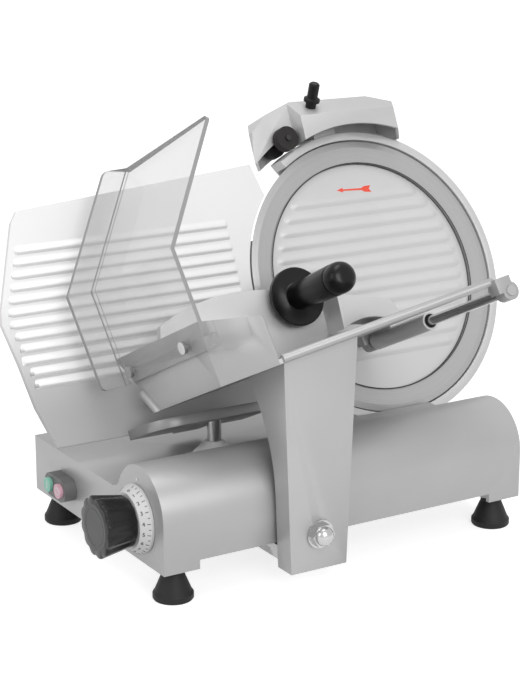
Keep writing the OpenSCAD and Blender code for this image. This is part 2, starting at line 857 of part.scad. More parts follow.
module gauge_guide() {
    color("gray") place() translate([guide_x, 0, guide_z]) rod_y(guide_r, lug_front, lug_back);
}

// Turns a profile of (radius, distance out from the end wall) about the knob axis
module knob_turned() {
    translate([0, knob_y, knob_z]) rotate([0, -90, 0]) rotate_extrude($fn = 96) children();
}

// Flared knob with flutes along its flank and a ring groove round its cap
module thickness_knob() {
    knob_end = dial_l + knob_l;
    color("#1e1e1e") place() difference() {
        knob_turned() polygon([[0, dial_l], [knob_neck_r - knob_edge, dial_l],
            [knob_neck_r, dial_l + knob_edge], [knob_r, knob_end - knob_edge], [knob_r - knob_edge, knob_end],
            [knob_cap_r + 1, knob_end], [knob_cap_r + 0.6, knob_end - 0.8],
            [knob_cap_r - 0.6, knob_end - 0.8], [knob_cap_r - 1, knob_end], [0, knob_end]]);
        translate([0, knob_y, knob_z]) rod_x(knob_shaft_r + seat, shaft_in - knob_end, 0);
        for (i = [0 : flute_n - 1]) translate([0, knob_y, knob_z]) rotate([360 * i / flute_n, 0, 0])
            translate([-dial_l, 0, knob_neck_r + flute_r - flute_d])
            rotate([0, atan2(knob_r - knob_neck_r, knob_l), 0])
            rod_x(flute_r, -2 * knob_l, -knob_l / 6, $fn = 32);
    }
}

module thickness_dial() {
    color("whitesmoke") place() knob_turned() polygon([[knob_shaft_r + seat, air], [dial_r, air],
        [dial_r, dial_rim], [dial_front_r, dial_l], [knob_shaft_r + seat, dial_l]]);
}

module knob_shaft() {
    color("gray") place() translate([0, knob_y, knob_z])
        rod_x(knob_shaft_r, shaft_in - dial_l - knob_l, cam_x + cam_t);
}

module cam_disc() {
    color("gray") place() translate([cam_x, knob_y, knob_z]) difference() {
        rod_x(cam_r, 0, cam_t);
        rod_x(knob_shaft_r + seat, -1, cam_t + 1);
        translate([1.5, 0, 0]) along_x(cam_t)
            polygon(concat(groove_side(groove_w / 2), reversed(groove_side(-groove_w / 2))));
    }
}

// Long round outline of the switch
module switch_shape(r) {
    hull() for (y = [-1, 1] * button_pitch / 2) translate([y, 0]) circle(r = r);
}

module switch_bezel() {
    color("#3a3a3a") place() translate([0, switch_y, switch_z]) difference() {
        union() {
            translate([-switch_out, 0, 0]) along_x(switch_out) switch_shape(switch_r);
            along_x(end_wall + 8) switch_shape(switch_r - 1.5 - seat);
        }
        for (y = [-1, 1] * button_pitch / 2) translate([0, y, 0])
            rod_x(button_r + run_gap, -switch_out - 1, end_wall + 4);
    }
}

module push_button(y) {
    translate([0, switch_y + y, switch_z])
        rod_x(button_r, -switch_out - button_travel - air, end_wall + 3 - button_travel);
}

module start_button() {
    color("#43b28e") place() push_button(button_pitch / 2);
}

module stop_button() {
    color("#e58aa6") place() push_button(-button_pitch / 2);
}

module carriage_rail() {
    color("gray") place() translate([0, rail_y, rail_z]) rod_x(rail_r, bulkhead_x, base_l - bulkhead_x);
}

// Bearing block on the rail with a tongue that passes under the front of the base
module carriage_slider() {
    color("dimgray") place() difference() {
        translate([arm_x + arm_t + air, 0, 0]) along_x(arm_w - 2 * arm_t - 2 * air) polygon([
            [arm_depth_y, -tongue_low], [rail_y + block_r, -tongue_low], [rail_y + block_r, rail_z + block_r],
            [rail_y - block_r, rail_z + block_r], [rail_y - block_r, tongue_top], [-tongue_gap, tongue_top],
            [-tongue_gap, bolt_z + bolt_head_r], [arm_depth_y, bolt_z + bolt_head_r]]);
        translate([0, rail_y, rail_z]) rod_x(rail_r + run_gap, arm_x, arm_x + arm_w);
        translate([arm_x + arm_w / 2, 0, bolt_z]) rod_y(bolt_r + seat, arm_depth_y - 1, -10);
    }
}

module arm_front(t) {
    polygon([[arm_x + t, -arm_low - t], [arm_x + arm_w - t, -arm_low - t],
        [arm_x + arm_w - t + arm_flare, arm_top], [arm_x + t - arm_flare, arm_top]]);
}

module arm() {
    color("silver") place() difference() {
        intersection() {
            along_x(base_l) polygon(concat([[-arm_out, -arm_low], [arm_depth - arm_out, -arm_low]],
                arc([arm_depth - arm_out + arm_sweep, arm_bend_z], arm_sweep, 180, 180 - arm_turn, 12),
                [[arm_depth - arm_out + arm_sweep * (1 - cos(arm_turn)), arm_top], [-arm_out, arm_top]]));
            translate([0, -arm_out, 0]) along_y(arm_sweep) arm_front(0);
        }
        translate([0, arm_depth_y, 0]) along_y(arm_sweep) arm_front(arm_t);
        tray_frame() translate([-tray_w, -tray_front, 0]) cube([3 * tray_w, 2 * tray_front, tray_front]);
        translate([arm_x + arm_w / 2, 0, bolt_z]) rod_y(bolt_r + seat, -arm_out - 1, 0);
    }
}

// Acorn nut on its washer, with the stud behind it
module arm_bolt() {
    color("gray") place() translate([arm_x + arm_w / 2, -arm_out, bolt_z]) {
        rod_y(bolt_head_r, -washer_t, 0);
        rod_y(bolt_head_r - 2, -washer_t - nut_t, -washer_t, $fn = 6);
        revolve_y() polygon(concat([[0, -washer_t - nut_t]], [for (a = [0 : 10 : 90])
            [(bolt_head_r - 4.5) * cos(a), -washer_t - nut_t - dome_h * sin(a)]]));
        rod_y(bolt_r, 0, bolt_in);
    }
}

// Ear for the pusher rod, from v0 along the tray
module rod_ear(v0) {
    translate([rod_axis_u, 0, rod_w]) rod_y(ear_r, v0, v0 + ear_l);
    translate([tray_w - 8, v0, rod_w]) cube([rod_u + 12, ear_l, floor_t - rod_w]);
}

// Places along the diagonal wall, up from the underside of the floor and inward from its face
module diagonal_frame() {
    translate([-tray_left, corner_v, 0]) rotate([0, 0, -atan2(corner_v, tray_left)]) children();
}

// Round bead at the lower end of the left wall
module wall_bead() {
    translate([-tray_left, wall_end, 0]) intersection() {
        rotate([-atan2(wall_end_top - wall_end, wall_top), 0, 0]) translate([0, 0, -bead_r])
            cylinder(r = bead_r, h = bead_l + bead_r);
        translate([-bead_r, -2 * bead_r, 0]) cube([2 * bead_r, 2 * bead_l, bead_l]);
    }
}

// Shallow recess with round lower corners in the face of the diagonal wall
module wall_recess() {
    diagonal_frame() translate([recess_x, -1, recess_w]) along_y(1 + recess_d) polygon(concat(
        [[recess_l, wall_top], [0, wall_top]],
        arc([recess_corner, recess_corner], recess_corner, 180, 270, 8),
        arc([recess_l - recess_corner, recess_corner], recess_corner, 270, 360, 8)));
}

module tray() {
    color("silver") place() tray_frame() difference() {
        union() {
            linear_extrude(floor_t) polygon([[0, 0], [tray_w, -front_rise], [tray_w, floor_l],
                [floor_cut, floor_l], [-tray_left, wall_end], [-tray_left, corner_v]]);
            translate([-tray_left, 0, 0]) along_x(tray_wall) polygon([[corner_v, 0], [wall_end, 0],
                [wall_end_top, wall_top], [corner_v, wall_top]]);
            linear_extrude(wall_top) polygon([[-tray_left, corner_v], [0, 0], tray_wall * corner_n,
                [tray_wall - tray_left, corner_v + tray_wall * (1 - corner_n[0]) / corner_n[1]]]);
            wall_bead();
            translate([0, 0, lip_r]) rotate([0, 0, -atan2(front_rise, tray_w)])
                rod_x(lip_r, lip_r, norm([tray_w, front_rise]) - lip_r);
            rod_ear(-ear_out);
            rod_ear(floor_l - ear_l);
        }
        diagonal_frame() translate([0, 0, wall_top])
            rotate([0, atan2(wall_h - wall_front_h, norm([tray_left, corner_v])), 0])
            translate([0, -2 * tray_wall, 0]) cube([2 * tray_left, 6 * tray_wall, wall_h]);
        wall_recess();
        translate([rod_axis_u, 0, rod_w]) rod_y(rod_r + seat, -ear_out - 1, floor_l + 1);
        for (v = guard_screws_v) translate([0, v, guard_screw_w])
            rod_x(screw_r + seat, -tray_left - 1, tray_wall);
    }
}

// Bent sheet of the guard as a view along the tray
function guard_sheet(t) =
    let (d = [sin(guard_lean), cos(guard_lean)], q = [cos(guard_lean), -sin(guard_lean)],
        a = [-tray_left - t, guard_w + guard_low_h])
    [[-tray_left - t, guard_w], [-tray_left, guard_w], a + [t, -t * tan(guard_lean / 2)],
        a + q * t + d * guard_high_h, a + d * guard_high_h, a];

module clear_guard() {
    color([0.9, 0.95, 0.97, 0.4]) place() tray_frame() difference() {
        union() {
            translate([0, guard_v, 0]) along_y(guard_l) polygon(guard_sheet(guard_t));
            translate([-tray_left - guard_t, guard_v - tab_l, guard_w]) cube([guard_t, tab_l + eps, tab_h]);
            translate([0, guard_v + guard_l, 0]) intersection() {
                rotate([0, 0, atan2(flare_out, flare_l)]) translate([0, -guard_t, 0])
                    along_y(flare_l + guard_t) polygon(guard_sheet(guard_t));
                translate([-guard_l, 0, 0])
                    cube([2 * guard_l, flare_l, guard_w + guard_low_h + guard_high_h]);
            }
        }
        for (v = guard_screws_v) translate([0, v, guard_screw_w])
            rod_x(screw_r + seat, -tray_left - 10, tray_wall);
    }
}

module guard_screws() {
    color("gray") place() tray_frame() for (v = guard_screws_v) translate([-tray_left, v, guard_screw_w]) {
        rod_x(screw_r, -guard_t, tray_wall + 2);
        rod_x(6, -guard_t - 4, -guard_t);
        rod_x(5, tray_wall, tray_wall + 3.5);
    }
}

module pusher_rod() {
    color("gray") place() tray_frame() translate([rod_axis_u, 0, rod_w]) rod_y(rod_r, -ear_out - 1, floor_l);
}

module pusher_bush() {
    color("dimgray") place() pusher_frame() difference() {
        rod_y(bush_r, sleeve_front, sleeve_front + sleeve_l);
        rod_y(rod_r + run_gap, sleeve_front - 1, sleeve_front + sleeve_l + 1);
    }
}

// Outline of the pusher seen along its rod: crowned plate, foot over the floor, arch over the tray's edge
pusher_outline = concat(
    [[push_foot, push_low(push_foot)]],
    arc(arch_c, arch_r, 90 + tray_roll + arch_a, 90 + tray_roll - arch_a, 12),
    [[push_arch_r, 0], [shoulder_x + shoulder_r, 0]],
    arc([shoulder_x, shoulder_z], shoulder_r, 0, 75, 8),
    arc(crown_c, crown_r, 90 - crown_a, 90 + crown_a, 20));

module pusher_casting() {
    color("silver") place() pusher_frame() difference() {
        union() {
            translate([0, plate_v, 0]) along_y(plate_t) polygon(pusher_outline);
            intersection() {
                translate([0, plate_v + plate_t - arch_l, 0]) along_y(arch_l) polygon(pusher_outline);
                translate([hook_left, 0, 0]) cube([2 * sleeve_l, 2 * floor_l, 2 * sleeve_l]);
            }
            rod_y(sleeve_r, sleeve_front, sleeve_front + sleeve_l);
        }
        rod_y(bush_r + run_gap, sleeve_front - 1, sleeve_front + sleeve_l + 1);
    }
}

module pusher_handle() {
    color("#1c1c1c") place() pusher_frame() translate([hand_x, 0, hand_z]) revolve_y() polygon([
        [0, plate_v], [hand_boss, plate_v], [hand_boss, disc_v], [disc_r - 2, disc_v], [disc_r, disc_v - 2],
        [disc_r, grip_v + 2], [disc_r - 2, grip_v], [grip_r - 3, grip_v], [grip_r - 3, grip_v - 4],
        [grip_r, grip_v - grip_l + 14], [grip_r - 1.5, grip_v - grip_l + 6],
        [grip_r - 6, grip_v - grip_l + 1], [0, grip_v - grip_l]]);
}

module sharpener_stem() {
    color("gray") place() blade_frame() translate([sharp_x, stem_yb, stem_foot])
        cylinder(r = stem_r, h = stem_top - stem_foot);
}

// Front view of the sharpener cover, drawn in by t, from shares along and down and the way in at each corner
function sharp_front(t) = [for (p = [[0, 1, 1, -1], [0, 0.906, 1, 0], [0.026, 0.469, 1, -0.3],
    [0.137, 0.188, 0.4, -1], [0.316, 0, 0, -1], [0.832, 0.023, 0, -1], [1, 0.281, -0.7, -0.7],
    [1, 1, -1, -1]])
    [sharp_left + p[0] * (sharp_right - sharp_left) + p[2] * t, sharp_top - p[1] * sharp_h + p[3] * t]];

// Side view of the sharpener cover with its sloped nose, drawn in by t
function sharp_side(t) = let (k = nose_slope, d = t * sqrt(1 + k * k)) [
    [t - sharp_half, sharp_foot - t], [t - sharp_half, sharp_top - nose_h + k * t - d],
    [(d - t) / k, sharp_top - t], [sharp_back - t, sharp_top - t], [sharp_back - t, sharp_foot - t]];

// Body of the sharpener cover, drawn in by t, with its left end set back
module sharp_body(t) {
    difference() {
        intersection() {
            translate([0, -sharp_half, 0]) along_y(sharp_half + sharp_back) polygon(sharp_front(t));
            translate([sharp_left, 0, 0]) along_x(sharp_right - sharp_left) polygon(sharp_side(t));
        }
        translate([sharp_left - 1, -sharp_half - 1, sharp_foot - 2 * t])
            cube([step_x - sharp_left + 1 + t, sharp_half + step_yb + 1 + t, sharp_top]);
        translate([sharp_left + t / cos(end_taper), step_yb, 0]) rotate([0, 0, -end_taper])
            translate([-sharp_top, -sharp_half, 0]) cube([sharp_top, sharp_top, 2 * sharp_top]);
        translate([nose_right - t / cos(end_taper), -sharp_half, 0]) rotate([0, 0, -end_taper])
            translate([0, -sharp_half, 0]) cube([sharp_top, sharp_top, 2 * sharp_top]);
    }
}

module sharpener_cover() {
    color("silver") place() blade_frame() difference() {
        union() {
            difference() {
                sharp_body(0);
                sharp_body(sharp_wall);
            }
            intersection() {
                translate([sharp_x, stem_yb, stem_foot + 2])
                    cylinder(r = stem_boss, h = sharp_top - stem_foot);
                sharp_body(eps);
            }
        }
        rod_y(ring_or + 2, -sharp_half - 1, sharp_back + 1, $fn = 120);
        intersection() {
            rod_y(ring_or + stone_cut, step_yb - 1, step_yb + sharp_wall + 1, $fn = 120);
            translate([sharp_left + sharp_wall, -sharp_half, 0])
                cube([step_x - sharp_left, 2 * sharp_half, sharp_top]);
        }
        translate([stone_x, 0, stone_z]) rod_y(spindle_r + seat, -sharp_half, sharp_back - sharp_wall);
        translate([sharp_x, stem_yb, 0]) cylinder(r = stem_r + run_gap, h = stem_top);
    }
}

module stone_spindles() {
    color("gray") place() blade_frame() translate([stone_x, 0, stone_z])
        rod_y(spindle_r, -honing_yb, sharp_back - sharp_wall);
}

module stone(y0) {
    blade_frame() translate([stone_x, 0, stone_z]) difference() {
        rod_y(stone_r, y0, y0 + stone_t);
        rod_y(spindle_r + run_gap, y0 - 1, y0 + stone_t + 1);
    }
}

module grinding_stone() {
    color("tan") place() stone(grinding_yb);
}

module honing_stone() {
    color("rosybrown") place() stone(-honing_yb + 2);
}

// Clamp knob with a flange, square to the sloped nose of the cover
module sharpener_knob() {
    color("#1c1c1c") place() blade_frame()
        translate([clamp_x, clamp_yb, sharp_top - nose_h + nose_slope * (clamp_yb + sharp_half)])
        rotate([atan(nose_slope), 0, 0]) rotate_extrude() polygon([[0, 0], [clamp_r, 0],
            [clamp_r, clamp_neck], [clamp_rim, clamp_neck + 1], [clamp_rim, clamp_neck + 4],
            [clamp_r, clamp_neck + 5.5], [clamp_r, clamp_h - 1.5], [clamp_r - 1.5, clamp_h], [0, clamp_h]]);
}

module slice_deflector() {
    color("silver") place() blade_frame() intersection() {
        translate([-deflector_l, housing_front + deflector_gap, deflector_low])
            cube([deflector_l - pedestal_out, deflector_t, deflector_h]);
        rod_y(gauge_edge - well_gap, 0, blade_r);
    }
}

module cable_gland() {
    color("#1c1c1c") place() translate([gland_x, base_d, gland_z]) difference() {
        union() {
            rod_y(gland_r, -wall - 4, 0);
            revolve_y() polygon([[0, 0], [gland_r + 4, 0], [gland_r + 4, 6], [gland_r, 8],
                [gland_r - 2, gland_l], [0, gland_l]]);
        }
        rod_y(gland_bore, -wall - 5, gland_l + 1);
    }
}

base_casting();
bottom_cover();
feet();
foot_studs();
blade_housing();
ring_guard();
drive_cover();
motor_case();
motor_end_cap();
shaft_bearings();
drive_belt();
blade();
blade_shaft();
driven_pulley();
blade_screws();
blade_cover();
tie_rod();
tie_rod_knob();
motor_shaft();
motor_pulley();
gauge_plate();
gauge_bracket();
gauge_post();
post_cap();
gauge_slider();
gauge_guide();
thickness_knob();
thickness_dial();
knob_shaft();
cam_disc();
switch_bezel();
start_button();
stop_button();
carriage_rail();
carriage_slider();
arm();
arm_bolt();
tray();
clear_guard();
guard_screws();
pusher_rod();
pusher_bush();
pusher_casting();
pusher_handle();
sharpener_stem();
sharpener_cover();
stone_spindles();
grinding_stone();
honing_stone();
sharpener_knob();
slice_deflector();
cable_gland();
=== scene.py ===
"""Looks of a gravity-feed food slicer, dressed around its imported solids.

Meshes are in metres, in the frame of the solids: +X to the operator's right, +Y away from the operator, +Z up.
Sizes of the sub-assemblies are in millimetres, those of the finishes and the stage in metres.
"""

import json
import logging
import math
from abc import ABC, abstractmethod
from collections.abc import Callable
from dataclasses import dataclass, field
from enum import Enum
from functools import partial

import bmesh
import bpy
from mathutils import Matrix, Vector

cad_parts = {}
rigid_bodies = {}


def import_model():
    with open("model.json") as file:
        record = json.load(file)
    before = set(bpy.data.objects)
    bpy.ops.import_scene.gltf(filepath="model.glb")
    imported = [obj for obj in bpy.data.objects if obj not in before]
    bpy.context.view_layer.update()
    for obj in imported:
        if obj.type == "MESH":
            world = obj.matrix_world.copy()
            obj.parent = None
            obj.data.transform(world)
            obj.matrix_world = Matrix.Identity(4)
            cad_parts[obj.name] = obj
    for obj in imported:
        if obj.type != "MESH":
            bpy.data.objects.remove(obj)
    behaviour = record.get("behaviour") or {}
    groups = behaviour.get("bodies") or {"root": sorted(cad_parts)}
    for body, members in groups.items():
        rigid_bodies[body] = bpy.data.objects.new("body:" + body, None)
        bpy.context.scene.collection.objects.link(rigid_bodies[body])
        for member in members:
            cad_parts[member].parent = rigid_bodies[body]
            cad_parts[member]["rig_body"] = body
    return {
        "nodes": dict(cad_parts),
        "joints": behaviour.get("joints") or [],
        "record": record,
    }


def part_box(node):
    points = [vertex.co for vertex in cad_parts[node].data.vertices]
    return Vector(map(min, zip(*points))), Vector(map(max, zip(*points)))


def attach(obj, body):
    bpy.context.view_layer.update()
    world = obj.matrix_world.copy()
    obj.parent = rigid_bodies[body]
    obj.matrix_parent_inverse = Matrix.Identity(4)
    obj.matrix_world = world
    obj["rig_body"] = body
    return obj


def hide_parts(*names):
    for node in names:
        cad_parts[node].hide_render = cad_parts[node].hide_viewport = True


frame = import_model()

Material = bpy.types.Material
Mesh = bpy.types.Mesh
Shape = bmesh.types.BMesh
Socket = bpy.types.NodeSocket

LOG = logging.getLogger("slicer")
MM = 0.001
# Millimetres that a print or a soft rib reaches into the face below it
PRINT_DEPTH = 0.2
# Corners this close in metres are one: of a solid's triangles, and of a thin print
SOLID_JOIN = 2e-6
PRINT_JOIN = 1e-7
# Faces that turn less than this lie in one plane
FLAT_TURN = math.radians(0.6)
# Edges that turn more than these are rounded, and shaded as sharp
ROUNDED_TURN = math.radians(32)
SHARP_TURN = math.radians(38)
# Most of a noise lies between these values
NOISE_LOW = 0.3
NOISE_HIGH = 0.7


class Slot(Enum):
    """Material slots of the record."""

    CAST = "cast_aluminium"
    PALE = "pale_aluminium"
    BLADE = "blade_steel"
    BRIGHT = "bright_steel"
    BLACK = "black_plastic"
    PAINT = "grey_paint"
    RUBBER = "black_rubber"
    CLEAR = "clear_acrylic"
    GREEN = "green_plastic"
    RED = "red_plastic"
    GRINDING = "grinding_grit"
    HONING = "honing_grit"


class Body(Enum):
    """Bodies of the machine that carry added pieces."""

    BASE = "base"
    BLADE = "blade_rotor"
    GAUGE = "gauge"
    KNOB = "knob"
    START = "start"
    STOP = "stop"
    CARRIAGE = "carriage"
    PUSHER = "pusher"
    SHARPENER = "sharpener"


class Form(Enum):
    """Small forms that a ring pattern repeats."""

    BOX = False
    DISC = True


class NodeGraph:
    """A material's node tree with a Principled shader at its end."""

    def __init__(self, name: str) -> None:
        """Makes the material and its shader.

        Args:
            name: Name of the material.
        """
        self.material = bpy.data.materials.new(name)
        self.material.use_nodes = True
        self.nodes = self.material.node_tree.nodes
        self.links = self.material.node_tree.links
        self.shader = self.nodes["Principled BSDF"]
        self.coordinates = self.add("ShaderNodeTexCoord").outputs["Object"]

    def add(self, kind: str, **values: object) -> bpy.types.Node:
        """Adds a node.

        Args:
            kind: Node type.
            **values: Node properties.

        Returns:
            The new node.
        """
        node = self.nodes.new(kind)
        for key, value in values.items():
            setattr(node, key, value)
        return node

    def link(self, source: Socket, target: Socket) -> None:
        """Joins an output to an input."""
        self.links.new(source, target)

    def mapped(self, scale: Vector, turn: Vector = Vector(), shift: Vector = Vector()) -> Socket:
        """Object coordinates, scaled, then turned, then shifted.

        Args:
            scale: Scale on each axis.
            turn: Euler turn in radians.
            shift: Shift after the turn.

        Returns:
            The vector output.
        """
        node = self.add("ShaderNodeMapping")
        node.inputs["Scale"].default_value = scale
        node.inputs["Rotation"].default_value = turn
        node.inputs["Location"].default_value = shift
        self.link(self.coordinates, node.inputs["Vector"])
        return node.outputs["Vector"]

    def noise(self, vector: Socket, scale: float, detail: float = 2.0) -> Socket:
        """Noise on a vector.

        Args:
            vector: Where the noise is read.
            scale: Features per metre.
            detail: Octaves.

        Returns:
            The value output.
        """
        node = self.add("ShaderNodeTexNoise")
        node.inputs["Scale"].default_value = scale
        node.inputs["Detail"].default_value = detail
        self.link(vector, node.inputs["Vector"])
        return node.outputs["Fac"]

    def ramp(self, value: Socket, low: float, high: float) -> Socket:
        """Maps the middle of a noise to a range.

        Args:
            value: The noise.
            low: Result at the noise's low side.
            high: Result at the noise's high side.

        Returns:
            The mapped value.
        """
        node = self.add("ShaderNodeMapRange")
        node.inputs["From Min"].default_value = NOISE_LOW
        node.inputs["From Max"].default_value = NOISE_HIGH
        node.inputs["To Min"].default_value = low
        node.inputs["To Max"].default_value = high
        self.link(value, node.inputs["Value"])
        return node.outputs["Result"]

    def tint(self, value: Socket, low: tuple, high: tuple) -> Socket:
        """Colour between two tones by a value.

        Args:
            value: Mix value, 0 to 1.
            low: Colour at 0.
            high: Colour at 1.

        Returns:
            The colour output.
        """
        node = self.add("ShaderNodeMix", data_type="RGBA")
        node.inputs["A"].default_value = (*low, 1)
        node.inputs["B"].default_value = (*high, 1)
        self.link(value, node.inputs["Factor"])
        return next(o for o in node.outputs if o.type == "RGBA")

    def patches(self, value: Socket, tone: tuple, darker: float, lighter: float) -> None:
        """Sets a base colour that varies about a tone.

        Args:
            value: Noise that the colour follows.
            tone: The tone.
            darker: Factor on the tone at the noise's low side.
            lighter: Factor on the tone at its high side.
        """
        self.colour(self.tint(self.ramp(value, 0, 1), shade(tone, darker), shade(tone, lighter)))

    def bump(self, height: Socket, depth: float, strength: float) -> None:
        """Bump on the shader's normal.

        Args:
            height: Height value.
            depth: Depth in metres at full strength.
            strength: Share of the depth.
        """
        node = self.add("ShaderNodeBump")
        node.inputs["Strength"].default_value = strength
        node.inputs["Distance"].default_value = depth
        self.link(height, node.inputs["Height"])
        self.link(node.outputs["Normal"], self.shader.inputs["Normal"])

    def colour(self, socket: Socket) -> None:
        """Sets the base colour."""
        self.link(socket, self.shader.inputs["Base Color"])

    def roughness(self, socket: Socket) -> None:
        """Sets the roughness."""
        self.link(socket, self.shader.inputs["Roughness"])

    def fixed(self, **values: float) -> None:
        """Sets plain values on the shader's own sockets."""
        for key, value in values.items():
            self.shader.inputs[key.replace("_", " ")].default_value = value


def grey(level: float) -> tuple:
    """A neutral tone."""
    return (level, level, level)


def shade(tone: tuple, factor: float) -> tuple:
    """A colour made lighter or darker."""
    return tuple(min(1.0, c * factor) for c in tone)


@dataclass(frozen=True)
class Finish(ABC):
    """A surface finish."""

    name: str
    tone: tuple

    @abstractmethod
    def paint(self, graph: NodeGraph) -> None:
        """Sets the finish on its material's shader."""

    def material(self) -> Material:
        """Builds the material.

        Returns:
            The material.
        """
        graph = NodeGraph(self.name)
        self.paint(graph)
        return graph.material


@dataclass(frozen=True)
class BlastedMetal(Finish):
    """Satin aluminium: fine blasted grain, faint cloudy patches."""

    rough_low: float = 0.36
    rough_high: float = 0.46
    metallic: float = 0.35
    spread: float = 0.04
    cloud: float = 11
    grain: float = 1500
    depth: float = 0.00006
    relief: float = 0.35

    def base(self, graph: NodeGraph, cloud: Socket) -> None:
        """Sets the base colour, with faint cloudy patches."""
        graph.patches(cloud, self.tone, 1 - self.spread, 1 + self.spread)

    def paint(self, graph: NodeGraph) -> None:
        """Sets the finish on its material's shader.

        Args:
            graph: The material's nodes.
        """
        self.base(graph, graph.noise(graph.coordinates, self.cloud, detail=3))
        grain = graph.noise(graph.coordinates, self.grain)
        graph.roughness(graph.ramp(grain, self.rough_low, self.rough_high))
        graph.bump(grain, self.depth, self.relief)
        graph.fixed(Metallic=self.metallic)


@dataclass(frozen=True)
class PaintedShadeMetal(BlastedMetal):
    """Satin aluminium with painted shade: darker towards its lower edge, between two heights in metres."""

    bottom: float = 0.13
    top: float = 0.26
    painted_low_shade: float = 0.5

    def base(self, graph: NodeGraph, cloud: Socket) -> None:
        """Sets the base colour by height, painted darker towards the bottom as shade, with faint cloudy patches.

        Args:
            graph: The material's nodes.
            cloud: Noise of the patches.
        """
        place = graph.add("ShaderNodeSeparateXYZ")
        graph.link(graph.coordinates, place.inputs[0])
        fade = graph.add("ShaderNodeMapRange", interpolation_type="SMOOTHSTEP")
        fade.inputs["From Min"].default_value = self.bottom
        fade.inputs["From Max"].default_value = self.top
        graph.link(place.outputs["Z"], fade.inputs["Value"])
        mixed = graph.add("ShaderNodeMath", operation="MULTIPLY")
        graph.link(fade.outputs["Result"], mixed.inputs[0])
        graph.link(graph.ramp(cloud, 1 - self.spread, 1), mixed.inputs[1])
        # Painted shade: the tone darkens towards the plate's lower edge, where the tray shades it.
        graph.colour(graph.tint(mixed.outputs[0], shade(self.tone, self.painted_low_shade), self.tone))


@dataclass(frozen=True)
class BrushedMetal(Finish):
    """Steel with fine lines along X."""

    rough_low: float = 0.2
    rough_high: float = 0.34
    metallic: float = 0.9
    darker: float = 0.92
    lighter: float = 1.06
    lines: tuple = (18, 1200, 1200)
    depth: float = 0.00003
    relief: float = 0.3

    def paint(self, graph: NodeGraph) -> None:
        """Sets the finish on its material's shader.

        Args:
            graph: The material's nodes.
        """
        lines = graph.noise(graph.mapped(Vector(self.lines)), 1.0, detail=3)
        graph.patches(lines, self.tone, self.darker, self.lighter)
        graph.roughness(graph.ramp(lines, self.rough_low, self.rough_high))
        graph.bump(lines, self.depth, self.relief)
        graph.fixed(Metallic=self.metallic)


@dataclass(frozen=True)
class TurnedMetal(Finish):
    """Metal ground on a wheel: fine rings about an axis."""

    centre: tuple = (0, 0, 0)
    tilt: float = 0.0
    rings: float = 1400
    detail: float = 3
    rough_low: float = 0.26
    rough_high: float = 0.4
    metallic: float = 0.85
    spread: float = 0.015

    def paint(self, graph: NodeGraph) -> None:
        """Sets the finish on its material's shader.

        Args:
            graph: The material's nodes.
        """
        shift = -(Matrix.Rotation(self.tilt, 3, "X") @ Vector(self.centre))
        local = graph.mapped(Vector((1, 1, 1)), Vector((self.tilt, 0, 0)), shift)
        parts = graph.add("ShaderNodeSeparateXYZ")
        graph.link(local, parts.inputs[0])
        face = graph.add("ShaderNodeCombineXYZ")
        graph.link(parts.outputs["X"], face.inputs["X"])
        graph.link(parts.outputs["Z"], face.inputs["Y"])
        length = graph.add("ShaderNodeVectorMath", operation="LENGTH")
        graph.link(face.outputs[0], length.inputs[0])
        rings = graph.add("ShaderNodeTexNoise", noise_dimensions="1D")
        rings.inputs["Scale"].default_value = self.rings
        rings.inputs["Detail"].default_value = self.detail
        graph.link(length.outputs["Value"], rings.inputs["W"])
        value = rings.outputs["Fac"]
        graph.patches(value, self.tone, 1 - self.spread, 1 + self.spread)
        graph.roughness(graph.ramp(value, self.rough_low, self.rough_high))
        graph.fixed(Metallic=self.metallic)


@dataclass(frozen=True)
class MouldedPlastic(Finish):
    """Plastic or rubber with a fine moulded grain."""

    rough_low: float = 0.34
    rough_high: float = 0.46
    gloss: float = 0.3
    grain: float = 2200
    depth: float = 0.00008
    relief: float = 0.4
    cloud: float = 40
    spread: float = 0.15

    def paint(self, graph: NodeGraph) -> None:
        """Sets the finish on its material's shader.

        Args:
            graph: The material's nodes.
        """
        grain = graph.noise(graph.coordinates, self.grain)
        graph.patches(graph.noise(graph.coordinates, self.cloud), self.tone, 1 - self.spread, 1 + self.spread)
        graph.roughness(graph.ramp(grain, self.rough_low, self.rough_high))
        graph.bump(grain, self.depth, self.relief)
        graph.fixed(Specular_IOR_Level=self.gloss)


@dataclass(frozen=True)
class GritStone(Finish):
    """Bonded abrasive: coarse grains of two tones."""

    grain: float = 1600
    darker: float = 0.6
    lighter: float = 1.3
    rough_low: float = 0.75
    rough_high: float = 0.95
    depth: float = 0.0003
    relief: float = 0.8

    def paint(self, graph: NodeGraph) -> None:
        """Sets the finish on its material's shader.

        Args:
            graph: The material's nodes.
        """
        grain = graph.noise(graph.coordinates, self.grain, detail=4)
        graph.patches(grain, self.tone, self.darker, self.lighter)
        graph.roughness(graph.ramp(grain, self.rough_low, self.rough_high))
        graph.bump(grain, self.depth, self.relief)


@dataclass(frozen=True)
class ClearSheet(Finish):
    """Clear acrylic with faint wipe marks in its gloss."""

    veil: float = 0.27
    wipes: tuple = (30, 90, 12)
    darker: float = 0.985
    rough_high: float = 0.03

    def paint(self, graph: NodeGraph) -> None:
        """Sets the finish on its material's shader.

        Args:
            graph: The material's nodes.
        """
        wipe = graph.noise(graph.mapped(Vector(self.wipes)), 1.0, detail=3)
        graph.patches(wipe, self.tone, self.darker, 1)
        graph.roughness(graph.ramp(wipe, 0.0, self.rough_high))
        graph.fixed(Alpha=self.veil)


@dataclass(frozen=True)
class Print(Finish):
    """Printed ink with a slightly uneven coat."""

    coat: float = 900
    darker: float = 0.9
    lighter: float = 1.08
    rough_low: float = 0.4
    rough_high: float = 0.6

    def paint(self, graph: NodeGraph) -> None:
        """Sets the finish on its material's shader.

        Args:
            graph: The material's nodes.
        """
        coat = graph.noise(graph.coordinates, self.coat)
        graph.patches(coat, self.tone, self.darker, self.lighter)
        graph.roughness(graph.ramp(coat, self.rough_low, self.rough_high))


